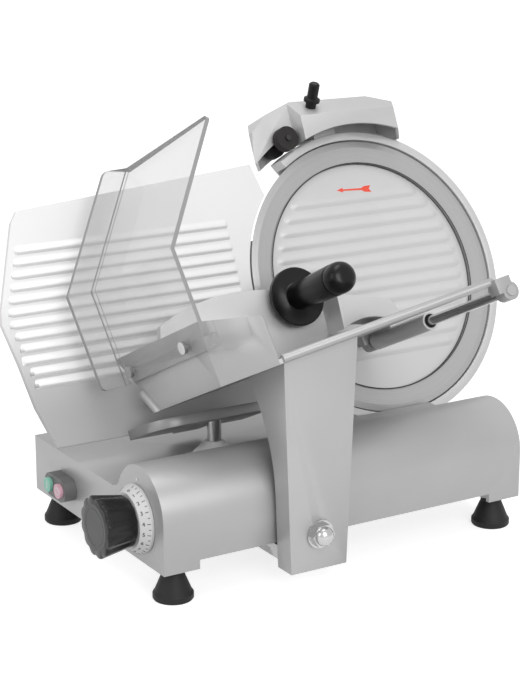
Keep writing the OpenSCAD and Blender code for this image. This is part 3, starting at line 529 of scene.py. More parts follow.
class Finishes:
    """The finishes of the machine, made once each."""

    def __init__(self, blade_centre: Vector, blade_tilt: float) -> None:
        """Makes the materials.

        Args:
            blade_centre: Centre of the blade plane.
            blade_tilt: Tilt of the blade plane in radians.
        """
        centre = tuple(blade_centre)
        made: dict[Slot, Finish] = {
            Slot.CAST: BlastedMetal("satin_aluminium", grey(0.47)),
            Slot.PALE: BlastedMetal("pale_aluminium", grey(0.8), metallic=0.2, spread=0.02),
            Slot.BLADE: TurnedMetal("ground_blade_steel", grey(0.42), centre, blade_tilt, 5000, metallic=0.5),
            Slot.BRIGHT: BrushedMetal("bright_steel", grey(0.5), rough_low=0.14, rough_high=0.24),
            Slot.BLACK: MouldedPlastic("black_moulding", (0.009, 0.009, 0.0095), gloss=0.18),
            Slot.PAINT: BlastedMetal("motor_paint", (0.3, 0.3, 0.31), metallic=0.2),
            Slot.RUBBER: MouldedPlastic("foot_rubber", grey(0.014), rough_low=0.5, rough_high=0.65),
            Slot.CLEAR: ClearSheet("clear_acrylic", grey(0.55)),
            Slot.GREEN: MouldedPlastic("start_green", (0.3, 0.66, 0.52)),
            Slot.RED: MouldedPlastic("stop_red", (0.76, 0.46, 0.54)),
            Slot.GRINDING: GritStone("grinding_grit", (0.016, 0.015, 0.014)),
            Slot.HONING: GritStone("honing_grit", (0.016, 0.014, 0.013)),
        }
        special: dict[str, Finish] = {
            "blade_cover": BlastedMetal("cover_aluminium", grey(0.61), metallic=0.2, spread=0.02),
            "ring_guard": BlastedMetal("ring_aluminium", grey(0.58), metallic=0.3),
            "sharpener_cover": BlastedMetal("sharpener_aluminium", grey(0.53)),
            "pusher_casting": BlastedMetal("pusher_aluminium", grey(0.6)),
            "base_casting": BlastedMetal("base_aluminium", grey(0.43)),
            "stone_spindles": BrushedMetal("dark_spindle", grey(0.05), rough_low=0.4, rough_high=0.5),
            "pusher_handle": MouldedPlastic("grip_gloss", (0.006, 0.006, 0.0062), 0.2, 0.26, gloss=0.25),
            "tray": BlastedMetal("tray_aluminium", grey(0.4)),
            # Painted shade: the gauge plate is painted darker towards its lower edge.
            "gauge_plate": PaintedShadeMetal("plate_aluminium_painted_shade", grey(0.8), metallic=0.2, spread=0.05),
            "thickness_knob": MouldedPlastic("knob_gloss", (0.008, 0.008, 0.0085), 0.22, 0.3, gloss=0.3),
            # Painted shade: the bracket under the tray takes a darker copy of the cast aluminium, for the shade that
            # falls on it.
            "gauge_bracket": BlastedMetal("bracket_aluminium_painted_shade", grey(0.28)),
            "switch_bezel": MouldedPlastic("bezel_grey", grey(0.16)),
            "thickness_dial": BlastedMetal("dial_aluminium", grey(0.62), metallic=0.1, spread=0.02),
        }
        self.by_slot = {slot: finish.material() for slot, finish in made.items()}
        self.by_node = {node: finish.material() for node, finish in special.items()}
        self.red_ink = Print("arrow_ink", (0.84, 0.09, 0.05)).material()
        self.black_ink = Print("scale_ink", grey(0.05)).material()
        self.pale_ink = Print("symbol_ink", grey(0.75)).material()
        self.sheet_edge = BlastedMetal("sawn_acrylic", grey(0.3), metallic=0.0, spread=0.08).material()
        self.cap_grey = MouldedPlastic("cap_grey", (0.05, 0.052, 0.052)).material()
        # Painted shade: a near-black that stands for the shade in the blade's gap and inside the drive cover's screw
        # sockets.
        self.painted_shade_ink = Print("painted_shade_ink", grey(0.03)).material()

    def dress(self) -> None:
        """Gives every solid its own finish or that of its slot."""
        slot = slots()
        for name, node in frame["nodes"].items():
            node.data.materials.clear()
            node.data.materials.append(self.by_node.get(name, self.by_slot[slot[name]]))


def baked(piece: bpy.types.Object, name: str) -> Mesh:
    """The piece's mesh with its modifiers applied, and the piece removed.

    Args:
        piece: Object with modifiers.
        name: Name of the mesh.

    Returns:
        A plain mesh.
    """
    bpy.context.view_layer.update()
    graph = bpy.context.evaluated_depsgraph_get()
    mesh = bpy.data.meshes.new_from_object(piece.evaluated_get(graph), depsgraph=graph)
    mesh.name = name
    old = piece.data
    bpy.data.objects.remove(piece)
    if old.users == 0 and isinstance(old, Mesh):
        bpy.data.meshes.remove(old)
    return mesh


def in_scene(name: str, data: bpy.types.ID) -> bpy.types.Object:
    """Makes an object in the scene.

    Args:
        name: Name of the object.
        data: Its mesh, text, lamp or camera.

    Returns:
        The object.
    """
    made = bpy.data.objects.new(name, data)
    bpy.context.scene.collection.objects.link(made)
    return made


def slots() -> dict[str, Slot]:
    """The record's slot of each solid."""
    return {part["node"]: Slot(part["material_slot"]) for part in frame["record"]["subparts"]}


def merged(node: str) -> Shape:
    """A solid's mesh with its loose triangles joined and its flat faces made whole.

    Args:
        node: Name of the solid.

    Returns:
        The joined shape, to be freed by the caller.
    """
    shape = bmesh.new()
    shape.from_mesh(frame["nodes"][node].data)
    bmesh.ops.remove_doubles(shape, verts=shape.verts, dist=SOLID_JOIN)
    bmesh.ops.dissolve_limit(shape, angle_limit=FLAT_TURN, verts=shape.verts, edges=shape.edges)
    return shape


def mesh_from(shape: Shape, name: str) -> Mesh:
    """Makes a mesh from a shape.

    Args:
        shape: The shape, which is freed.
        name: Name of the mesh.

    Returns:
        The mesh.
    """
    mesh = bpy.data.meshes.new(name)
    shape.to_mesh(mesh)
    shape.free()
    return mesh


def along_axes(place: Matrix, across: float, out: float, up: float) -> Vector:
    """A place in millimetres along a frame's X, Z and Y, in the frame of the solids."""
    return place @ (MM * Vector((across, up, out)))


def ring(
    shape: Shape, place: Callable[[float, float, float], Vector], radii: list[float], depth: float,
    centre: tuple = (0.0, 0.0),
) -> list[bmesh.types.BMVert]:
    """Adds a ring of corners to a shape.

    Args:
        shape: Shape that takes the ring.
        place: Gives a corner's place from its way across, its depth and its way up.
        radii: Radius at each even step of the turn.
        depth: Depth of the ring.
        centre: Middle of the ring, across and up.

    Returns:
        The corners.
    """
    x, y = centre
    turns = [math.tau * i / len(radii) for i in range(len(radii))]
    return [shape.verts.new(place(x + r * math.cos(a), depth, y + r * math.sin(a))) for r, a in zip(radii, turns)]


def skin(shape: Shape, rings: list, smooth: bool = False) -> None:
    """Joins rings of corners by faces.

    Args:
        shape: Shape that holds the corners.
        rings: The rings in order, each of as many corners or of one.
        smooth: Whether the faces are shaded as one curve.
    """
    steps = max(map(len, rings))
    for a, b in zip(rings, rings[1:]):
        for i in range(steps):
            j = (i + 1) % steps
            quad = [a[i % len(a)], b[i % len(b)], b[j % len(b)], a[j % len(a)]]
            shape.faces.new(list(dict.fromkeys(quad))).smooth = smooth


def close(shape: Shape, inward: Vector) -> None:
    """Gives thin faces a back and sides, so that the mesh is closed.

    Args:
        shape: Shape of open faces.
        inward: Way from the faces to their backs.
    """
    bmesh.ops.remove_doubles(shape, verts=shape.verts, dist=PRINT_JOIN)
    fronts = set(shape.faces)
    made = bmesh.ops.extrude_face_region(shape, geom=list(shape.faces), use_keep_orig=True)["geom"]
    bmesh.ops.translate(shape, verts=[v for v in made if isinstance(v, bmesh.types.BMVert)], vec=inward)
    for face in shape.faces:
        face.smooth = face.smooth and face in fronts
    bmesh.ops.recalc_face_normals(shape, faces=shape.faces)


@dataclass(frozen=True)
class BladePlane:
    """The tilted plane of the blade, in millimetres along its own axes."""

    centre: Vector
    tilt: float

    def inward(self, depth: float) -> Vector:
        """Way from the operator's side into the plane, for a depth in millimetres."""
        return self.point(0, depth, 0) - self.centre

    def point(self, across: float, depth: float, up: float) -> Vector:
        """A place given along the blade's axes.

        Args:
            across: To the operator's right of the blade's centre.
            depth: Behind the blade's front face.
            up: Up the blade's face.

        Returns:
            The place in the frame of the solids.
        """
        c, s = math.cos(self.tilt), math.sin(self.tilt)
        return self.centre + MM * Vector((across, depth * c + up * s, up * c - depth * s))


@dataclass(frozen=True)
class TrayFrame:
    """The carriage tray's own axes on the blade plane, in millimetres."""

    plane: BladePlane
    origin: tuple = (-283.0, -242.0, -104.0)
    roll: float = math.radians(9)

    def point(self, across: float, back: float, up: float) -> Vector:
        """A place given along the tray's axes.

        Args:
            across: Along the tray floor to the right.
            back: From the tray's front towards the blade.
            up: Square to the tray floor.

        Returns:
            The place in the frame of the solids.
        """
        c, s = math.cos(self.roll), math.sin(self.roll)
        x, y, z = self.origin
        return self.plane.point(x + across * c - up * s, y + back, z + across * s + up * c)


@dataclass(frozen=True)
class SoftRib:
    """Cast rib with a long upper flank and a short lower one, in millimetres on the blade plane."""

    plane: BladePlane
    face_depth: float
    height: float
    below: float
    above: float
    end: float
    peak: float = -0.5
    sink: float = 0.05
    rows: int = 12
    end_shares: tuple = (0.0, 0.15, 0.35, 0.6, 0.85, 1.0)

    def rise(self, share: float) -> float:
        """Smooth rise from 0 to 1."""
        share = min(1.0, max(0.0, share))
        return share * share * (3 - 2 * share)

    def lift(self, across: float, share: float) -> float:
        """Height over the face.

        Args:
            across: Place across the rib, 0 at its axis.
            share: Share of the full height at this place along the rib.

        Returns:
            The height, a little below 0 at the rib's edges.
        """
        if across < self.peak:
            flank = (across + self.below) / (self.below + self.peak)
        else:
            flank = (self.above - across) / (self.above - self.peak)
        return (self.height + self.sink) * self.rise(flank) * self.rise(share) - self.sink

    def add_to(self, shape: Shape, left: float, right: float, up: float) -> None:
        """Adds one rib to a shape.

        Args:
            shape: Shape that takes the rib.
            left: Left end at full height.
            right: Right end at full height.
            up: Height of the rib's axis on the plane.
        """
        stations = [(left - self.end * (1 - e), e) for e in self.end_shares]
        stations += [(right + self.end * (1 - e), e) for e in reversed(self.end_shares)]
        across = [-self.below + (self.below + self.above) * i / self.rows for i in range(self.rows + 1)]
        grid = [
            [shape.verts.new(self.plane.point(x, self.face_depth - self.lift(t, share), up + t)) for t in across]
            for x, share in stations
        ]
        for a, b in zip(grid, grid[1:]):
            for i in range(self.rows):
                shape.faces.new((a[i], b[i], b[i + 1], a[i + 1])).smooth = True


@dataclass
class RingPattern:
    """Geometry Nodes that repeat a small form about an axis."""

    count: int
    start: float
    step: float
    radius: float
    size: Vector
    tilt: float = 0.0
    form: Form = Form.BOX
    disc_sides: int = 24

    def tree(self) -> bpy.types.NodeTree:
        """Builds the node tree with its named inputs.

        Returns:
            The tree.
        """
        tree = bpy.data.node_groups.new("ring_pattern", "GeometryNodeTree")
        kinds = {
            "Geometry": "Geometry", "Count": "Int", "Start": "Float", "Step": "Float", "Radius": "Float",
            "Tilt": "Float", "Size": "Vector", "Place": "Vector", "Turn": "Vector", "Round": "Bool",
            "Material": "Material",
        }
        for label, kind in kinds.items():
            tree.interface.new_socket(label, in_out="INPUT", socket_type="NodeSocket" + kind)
        tree.interface.new_socket("Geometry", in_out="OUTPUT", socket_type="NodeSocketGeometry")
        given = tree.nodes.new("NodeGroupInput").outputs

        def add(kind: str, links: dict, **values: object) -> bpy.types.Node:
            """Adds a node and joins its inputs.

            Args:
                kind: Node type.
                links: Outputs to join, by input.
                **values: Node properties.

            Returns:
                The new node.
            """
            node = tree.nodes.new(kind)
            for key, value in values.items():
                setattr(node, key, value)
            for key, source in links.items():
                tree.links.new(source, node.inputs[key])
            return node

        index = add("GeometryNodeInputIndex", {}).outputs[0]
        angles = {0: index, 1: given["Step"], 2: given["Start"]}
        angle = add("ShaderNodeMath", angles, operation="MULTIPLY_ADD").outputs[0]
        cosine = add("ShaderNodeMath", {0: angle}, operation="COSINE").outputs[0]
        sine = add("ShaderNodeMath", {0: angle}, operation="SINE").outputs[0]
        unit = add("ShaderNodeCombineXYZ", {"X": cosine, "Y": sine}).outputs[0]
        place = add("ShaderNodeVectorMath", {0: unit, "Scale": given["Radius"]}, operation="SCALE").outputs[0]
        turn = add("ShaderNodeCombineXYZ", {"Y": given["Tilt"], "Z": angle}).outputs[0]
        points = add("GeometryNodePoints", {"Count": given["Count"], "Position": place}).outputs[0]
        box = add("GeometryNodeMeshCube", {"Size": given["Size"]}).outputs["Mesh"]
        parts = add("ShaderNodeSeparateXYZ", {0: given["Size"]}).outputs
        half = add("ShaderNodeMath", {0: parts["X"]}, operation="MULTIPLY")
        half.inputs[1].default_value = 0.5
        disc = add("GeometryNodeMeshCylinder", {"Radius": half.outputs[0], "Depth": parts["Z"]})
        disc.inputs["Vertices"].default_value = self.disc_sides
        forms = {"Switch": given["Round"], "False": box, "True": disc.outputs["Mesh"]}
        form = add("GeometryNodeSwitch", forms, input_type="GEOMETRY")
        each = add("GeometryNodeInstanceOnPoints", {"Points": points, "Instance": form.outputs[0], "Rotation": turn})
        to_place = {"Geometry": each.outputs[0], "Translation": given["Place"], "Rotation": given["Turn"]}
        moved = add("GeometryNodeTransform", to_place)
        real = add("GeometryNodeRealizeInstances", {"Geometry": moved.outputs[0]})
        done = add("GeometryNodeSetMaterial", {"Geometry": real.outputs[0], "Material": given["Material"]})
        add("NodeGroupOutput", {"Geometry": done.outputs[0]})
        return tree

    def mesh(self, name: str, place: Matrix, material: Material) -> Mesh:
        """The repeated forms as one plain mesh.

        Args:
            name: Name of the mesh.
            place: Frame of the ring: X and Y in its plane, Z along its axis.
            material: Finish of the forms.

        Returns:
            The mesh.
        """
        tree = self.tree()
        work = in_scene(name + "_work", bpy.data.meshes.new(name + "_seed"))
        modifier = work.modifiers.new("pattern", "NODES")
        modifier.node_group = tree
        values = {
            "Count": self.count, "Start": self.start, "Step": self.step, "Radius": self.radius, "Tilt": self.tilt,
            "Size": self.size, "Place": place.to_translation(), "Turn": Vector(place.to_euler()),
            "Round": self.form.value, "Material": material,
        }
        for item in tree.interface.items_tree:
            if item.in_out == "INPUT" and item.name in values:
                modifier[item.identifier] = values[item.name]
        return baked(work, name)


@dataclass
class SubAssembly(ABC):
    """Pieces that are built and dressed together."""

    finishes: Finishes

    @abstractmethod
    def build(self) -> None:
        """Builds and dresses the pieces."""

    def body(self, node: str) -> Body:
        """The body that carries a solid."""
        return Body(frame["nodes"][node]["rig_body"])

    def add(self, mesh: Mesh, name: str, like: str, material: Material) -> bpy.types.Object:
        """Adds a piece that rides with a solid.

        Args:
            mesh: Mesh in the frame of the solids.
            name: Name of the piece.
            like: Solid that it rides with.
            material: Its finish.

        Returns:
            The piece.
        """
        mesh.materials.clear()
        mesh.materials.append(material)
        piece = in_scene(name, mesh)
        body = self.body(like)
        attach(piece, body.value)
        LOG.info("piece %s on %s, %d faces", name, body.value, len(mesh.polygons))
        return piece

    def add_shape(
        self, shape: Shape, name: str, like: str, material: Material, inward: Vector | None = None
    ) -> None:
        """Adds a piece from a shape.

        Args:
            shape: Shape in the frame of the solids, which is freed.
            name: Name of the piece.
            like: Solid that it rides with.
            material: Its finish.
            inward: Way to the back of a thin print, or None for a closed shape.
        """
        if inward is not None:
            close(shape, inward)
        self.add(mesh_from(shape, name), name, like, material)

    def stand_for(self, node: str, mesh: Mesh, name: str, sharp: float) -> None:
        """Puts a smooth mesh in a solid's place, in the solid's finish.

        Args:
            node: Name of the solid.
            mesh: Mesh in the frame of the solids.
            name: Name of the piece.
            sharp: Turn in radians past which an edge is sharp.
        """
        mesh.set_sharp_from_angle(angle=sharp)
        piece = self.add(mesh, name, node, self.finish_of(node))
        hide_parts(node)

    def finish_of(self, node: str) -> Material:
        """The finish that a solid wears."""
        return frame["nodes"][node].data.materials[0]

    def soften(self, node: str, width: float, segments: int = 2) -> None:
        """Puts a copy with rounded edges in a solid's place.

        Args:
            node: Name of the solid.
            width: Width of the rounding in millimetres.
            segments: Steps of the rounding.
        """
        work = in_scene(node + "_work", mesh_from(merged(node), node + "_edges"))
        bevel = work.modifiers.new("round", "BEVEL")
        bevel.width = width * MM
        bevel.segments = segments
        bevel.limit_method = "ANGLE"
        bevel.angle_limit = ROUNDED_TURN
        bevel.miter_outer = "MITER_ARC"
        done = baked(work, node + "_soft")
        done.shade_smooth()
        self.stand_for(node, done, node + "_soft", SHARP_TURN)


@dataclass
class BaseUnit(SubAssembly):
    """Castings on the base, with their rounded edges."""

    edge: float = 3.0
    small_edge: float = 1.0

    def build(self) -> None:
        """Rounds the castings of the base."""
        self.soften("base_casting", self.edge, segments=3)
        self.soften("carriage_slider", self.small_edge)
        self.soften("gauge_bracket", self.small_edge)


@dataclass
class DialUnit(SubAssembly):
    """Thickness dial with its scale, and the fluted knob with its cap."""

    rim_r: float = 33.5
    rim_out: float = 3.0
    inner_r: float = 27.0
    inner_out: float = 12.0
    settings: int = 16
    turn_per_setting: float = 20.0
    tick: float = 3.4
    short_tick: float = 2.0
    tick_width: float = 0.55
    tick_height: float = 0.16
    tick_inset: float = 0.4
    letter: float = 5.4
    lift: float = 0.06
    cap_r: float = 17.5
    cap_lift: float = 0.1
    cap_steps: int = 64
    face_r: float = 22.5
    groove: float = 0.7
    neck_r: float = 25.0
    knob_r: float = 30.0
    knob_edge: float = 2.0
    knob_rows: int = 6
    knob_steps: int = 144
    knob_sharp: float = math.radians(50)
    edge_turns: tuple = (0.5, 1.0, math.pi / 2)
    flutes: int = 12
    flute_depth: float = 2.0
    flute_start: float = 0.35
    flute_power: float = 1.5
    dot_up: float = 38.5
    dot_out: float = 0.3
    dot_height: float = 0.8
    dot_foot_r: float = 1.6
    dot_top_r: float = 1.2
    dot_sides: int = 24

    def __post_init__(self) -> None:
        """Finds the dial's axis and the way in which its numbers rise."""
        joint = next(j for j in frame["joints"] if j["name"] == "knob_turn")
        low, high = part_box("thickness_dial")
        centre = Vector((high.x, (low.y + high.y) / 2, (low.z + high.z) / 2))
        turn = Matrix(((0, 0, -1), (-1, 0, 0), (0, 1, 0))).to_4x4()
        self.face = Matrix.Translation(centre) @ turn
        self.inward = self.face.to_3x3() @ Vector((0, 0, -PRINT_DEPTH * MM))
        self.way = 1.0 if joint["axis"][0] > 0 else -1.0
        self.slope = math.atan2(self.inner_out - self.rim_out, self.rim_r - self.inner_r)
        self.length = math.hypot(self.inner_out - self.rim_out, self.rim_r - self.inner_r)

    def face_at(self, x: float) -> Matrix:
        """The dial's frame, moved along its axis.

        Args:
            x: Place on X, in metres.

        Returns:
            The frame.
        """
        place = self.face.copy()
        place.translation.x = x
        return place

    def on_cone(self, along: float, angle: float) -> Vector:
        """A place on the dial's cone.

        Args:
            along: Millimetres along the cone's slope from its inner edge.
            angle: Turn about the axis in radians, 0 to the operator's side.

        Returns:
            The place in the frame of the solids.
        """
        c, s = math.cos(self.slope), math.sin(self.slope)
        radius = self.inner_r + along * c + self.lift * s
        out = self.inner_out - along * s + self.lift * c
        return along_axes(self.face, radius * math.cos(angle), out, radius * math.sin(angle))

    def angle(self, setting: float) -> float:
        """Turn of a setting's mark, the first one at the top."""
        return math.pi / 2 + self.way * math.radians(self.turn_per_setting) * setting

    def ticks(self, name: str, count: int, first: float, step: float, size: float) -> None:
        """Adds a row of marks at the dial's rim.

        Args:
            name: Name of the piece.
            count: Number of marks.
            first: Setting of the first mark.
            step: Settings between marks.
            size: Length of a mark.
        """
        ink = self.finishes.black_ink
        along = self.length - size / 2 - self.tick_inset
        c, s = math.cos(self.slope), math.sin(self.slope)
        pattern = RingPattern(
            count, self.angle(first), self.angle(first + step) - self.angle(first),
            (self.inner_r + along * c) * MM, Vector((size, self.tick_width, self.tick_height)) * MM, self.slope,
        )
        place = self.face @ Matrix.Translation((0, 0, (self.inner_out - along * s) * MM))
        self.add(pattern.mesh(name, place, ink), name, "thickness_dial", ink)

    def numbers(self) -> None:
        """Adds the settings' numbers, laid on the cone."""
        shape = bmesh.new()
        along = (self.length - self.tick) / 2
        middle = self.inner_r + along * math.cos(self.slope)
        for setting in range(self.settings + 1):
            text = bpy.data.curves.new("number", "FONT")
            text.body = str(setting)
            text.size = self.letter
            text.align_x = "CENTER"
            text.align_y = "CENTER"
            flat = baked(in_scene("number_work", text), "number")
            for vertex in flat.vertices:
                x, y = vertex.co.x, vertex.co.y
                vertex.co = self.on_cone(along + x, self.angle(setting) + y / middle)
            shape.from_mesh(flat)
            bpy.data.meshes.remove(flat)
        self.add_shape(shape, "dial_numbers", "thickness_dial", self.finishes.black_ink, self.inward)

    def cap(self) -> None:
        """Adds the grey end of the knob, with the dark line around its cap."""
        place = self.face_at(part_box("thickness_knob")[0].x - self.cap_lift * MM)
        steps = self.cap_steps
        shape = bmesh.new()
        bmesh.ops.create_circle(shape, cap_ends=True, radius=self.cap_r * MM, segments=steps, matrix=place)
        radii = (self.cap_r + self.groove, self.face_r)
        skin(shape, [ring(shape, partial(along_axes, place), [r] * steps, 0) for r in radii])
        self.add_shape(shape, "knob_cap", "thickness_knob", self.finishes.cap_grey, self.inward)

    def knob_profile(self, length: float) -> list[tuple[float, float]]:
        """Outline of the knob from its neck to the edge of its face.

        Args:
            length: Length of the knob.

        Returns:
            Pairs of way out and radius.
        """
        edge, rows = self.knob_edge, self.knob_rows
        body, flare = length - 2 * edge, self.knob_r - self.neck_r
        profile = [(0.0, self.neck_r - edge), (edge, self.neck_r)]
        profile += [(edge + body * i / rows, self.neck_r + flare * i / rows) for i in range(1, rows + 1)]
        for a in self.edge_turns:
            profile.append((length - edge * (1 - math.sin(a)), self.knob_r - edge * (1 - math.cos(a))))
        return profile

    def fluted(self) -> None:
        """Puts a knob with wide, soft flutes in the plain knob's place."""
        low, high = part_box("thickness_knob")
        length = (high.x - low.x) / MM
        place = partial(along_axes, self.face_at(high.x))
        turns = [math.tau * i / self.knob_steps for i in range(self.knob_steps)]
        waves = [(0.5 + 0.5 * math.cos(self.flutes * a)) ** self.flute_power for a in turns]
        shape = bmesh.new()
        rings = []
        for out, radius in self.knob_profile(length):
            depth = self.flute_depth * min(1.0, self.flute_start + (1 - self.flute_start) * out / length)
            rings.append(ring(shape, place, [radius - depth * wave for wave in waves], out))
        skin(shape, rings, smooth=True)
        shape.faces.new(list(reversed(rings[0])))
        shape.faces.new(rings[-1])
        bmesh.ops.recalc_face_normals(shape, faces=shape.faces)
        self.stand_for("thickness_knob", mesh_from(shape, "knob_fluted"), "knob_fluted", self.knob_sharp)

    def pointer(self) -> None:
        """Adds the raised dot above the dial that shows the setting."""
        shape = bmesh.new()
        place = self.face @ Matrix.Translation((0, self.dot_up * MM, self.dot_out * MM))
        bmesh.ops.create_cone(
            shape, cap_ends=True, segments=self.dot_sides, radius1=self.dot_foot_r * MM,
            radius2=self.dot_top_r * MM, depth=self.dot_height * MM, matrix=place,
        )
        self.add_shape(shape, "dial_pointer", "base_casting", self.finishes.pale_ink)

    def build(self) -> None:
        """Builds the scale, the knob with its cap, and the pointer."""
        self.ticks("dial_ticks", self.settings + 1, 0, 1, self.tick)
        self.ticks("dial_half_ticks", self.settings, 0.5, 1, self.short_tick)
        self.numbers()
        self.fluted()
        self.cap()
        self.pointer()


@dataclass
class SwitchUnit(SubAssembly):
    """Start and stop buttons with their plain marks."""

    bar: Vector = field(default_factory=lambda: Vector((0.3, 1.4, 8.0)))
    ring_r: float = 3.6
    ring_parts: int = 32
    ring_part: Vector = field(default_factory=lambda: Vector((1.1, 0.8, 0.3)))

    def face(self, node: str) -> Matrix:
        """A move to the middle of a button's outer face."""
        low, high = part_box(node)
        return Matrix.Translation((low.x, (low.y + high.y) / 2, (low.z + high.z) / 2))

    def build(self) -> None:
        """Adds a bar on the start button and a ring on the stop button."""
        ink = self.finishes.pale_ink
        shape = bmesh.new()
        bar = Matrix.Diagonal((*(self.bar * MM), 1))
        bmesh.ops.create_cube(shape, size=1, matrix=self.face("start_button") @ bar)
        self.add_shape(shape, "start_mark", "start_button", ink)
        step = math.tau / self.ring_parts
        pattern = RingPattern(self.ring_parts, 0, step, self.ring_r * MM, self.ring_part * MM)
        place = self.face("stop_button") @ Matrix.Rotation(math.radians(90), 4, "Y")
        self.add(pattern.mesh("stop_mark", place, ink), "stop_mark", "stop_button", ink)


@dataclass
class BladeUnit(SubAssembly):
    """Guard ring and housing of the blade, with the ridges, the painted shade line over the gap and the arrow of its
    cover.
    """

    plane: BladePlane
    edge: float = 2.0
    face_depth: float = 4.6
    arrow_at: tuple = (2.3, 97.0)
    arrow_turn: float = math.radians(-3)
    arrow_lift: float = 0.12
    arrow_upper: tuple = (
        (-22.5, 0.0), (-14.5, 2.6), (-14.5, 0.9), (9.5, 1.1), (13.0, 3.2), (22.0, 3.8), (19.0, 0.0)
    )
    cover_r: float = 124.8
    ridge_low: float = -84.0
    ridge_pitch: float = 14.2
    ridges: int = 13
    ridge_in: float = 16.0
    gap_inner: float = 124.9
    gap_outer: float = 126.2
    gap_lift: float = 0.06
    gap_steps: int = 160

    def __post_init__(self) -> None:
        """Finds the way into the cover for its prints."""
        self.inward = self.plane.inward(PRINT_DEPTH)

    def ridge_rows(self) -> None:
        """Adds the soft ridges of the cover."""
        rib = SoftRib(self.plane, self.face_depth, height=1.8, below=5.2, above=7.0, end=9.0)
        shape = bmesh.new()
        for i in range(self.ridges):
            up = self.ridge_low + i * self.ridge_pitch
            half = math.sqrt(self.cover_r ** 2 - up ** 2) - self.ridge_in
            rib.add_to(shape, -half, half, up)
        self.add_shape(shape, "cover_ridges", "blade_cover", self.finish_of("blade_cover"), self.inward)

    def gap_shade_line(self) -> None:
        """Adds the dark line painted as the shade in the gap between the cover and the blade."""
        shape = bmesh.new()
        radii = (self.gap_inner, self.gap_outer)
        skin(shape, [ring(shape, self.plane.point, [r] * self.gap_steps, -self.gap_lift) for r in radii])
        # Painted shade: a dark ring over the gap at the blade's edge.
        self.add_shape(shape, "blade_gap_shade", "blade", self.finishes.painted_shade_ink, self.inward)

    def arrow(self) -> None:
        """Adds the printed arrow that shows the blade's turn."""
        outline = [*self.arrow_upper, *((x, -y) for x, y in reversed(self.arrow_upper[1:-1]))]
        shape = bmesh.new()
        c, s = math.cos(self.arrow_turn), math.sin(self.arrow_turn)
        x0, y0 = self.arrow_at
        depth = self.face_depth - self.arrow_lift
        places = [self.plane.point(x0 + x * c - y * s, depth, y0 + x * s + y * c) for x, y in outline]
        shape.faces.new([shape.verts.new(p) for p in places])
        bmesh.ops.triangulate(shape, faces=shape.faces)
        self.add_shape(shape, "turn_arrow", "blade_cover", self.finishes.red_ink, self.inward)

    def build(self) -> None:
        """Rounds the castings and adds what lies on the cover."""
        self.soften("ring_guard", self.edge)
        self.soften("blade_housing", self.edge)
        self.ridge_rows()
        self.gap_shade_line()
        self.arrow()


@dataclass
class GaugeUnit(SubAssembly):
    """Gauge plate with its soft ribs."""

    plane: BladePlane
    face_depth: float = 2.0
    top: float = 75.0
    pitch: float = 12.2
    count: int = 12
    right: float = -168.0
    inset: float = 4.6
    left_part: float = -300.0
    face_play: float = 0.1
    least_span: float = 1e-6

    def left_edge(self, up: float) -> float:
        """Left edge of the plate at a height on the blade plane.

        Args:
            up: Height on the plane.

        Returns:
            The edge, across from the blade's centre.
        """
        c, s = math.cos(self.plane.tilt), math.sin(self.plane.tilt)
        edge = []
        for vertex in frame["nodes"]["gauge_plate"].data.vertices:
            at = (vertex.co - self.plane.centre) / MM
            edge.append((at.y * s + at.z * c, at.x, at.y * c - at.z * s))
        front = [(z, x) for z, x, y in edge if abs(y - self.face_depth) < self.face_play and x < self.left_part]
        below = max((p for p in front if p[0] <= up), default=min(front))
        above = min((p for p in front if p[0] > up), default=max(front))
        span = above[0] - below[0]
        share = (up - below[0]) / span if abs(span) > self.least_span else 0.0
        return below[1] + (above[1] - below[1]) * share

    def build(self) -> None:
        """Adds the soft ribs over the plain ones."""
        rib = SoftRib(self.plane, self.face_depth, height=2.15, below=3.4, above=7.0, end=4.0)
        shape = bmesh.new()
        for i in range(self.count):
            up = self.top - i * self.pitch
            rib.add_to(shape, self.left_edge(up) + self.inset, self.right, up)
        pale = self.finishes.by_slot[Slot.PALE]
        self.add_shape(shape, "plate_ribs", "gauge_plate", pale, self.plane.inward(PRINT_DEPTH))


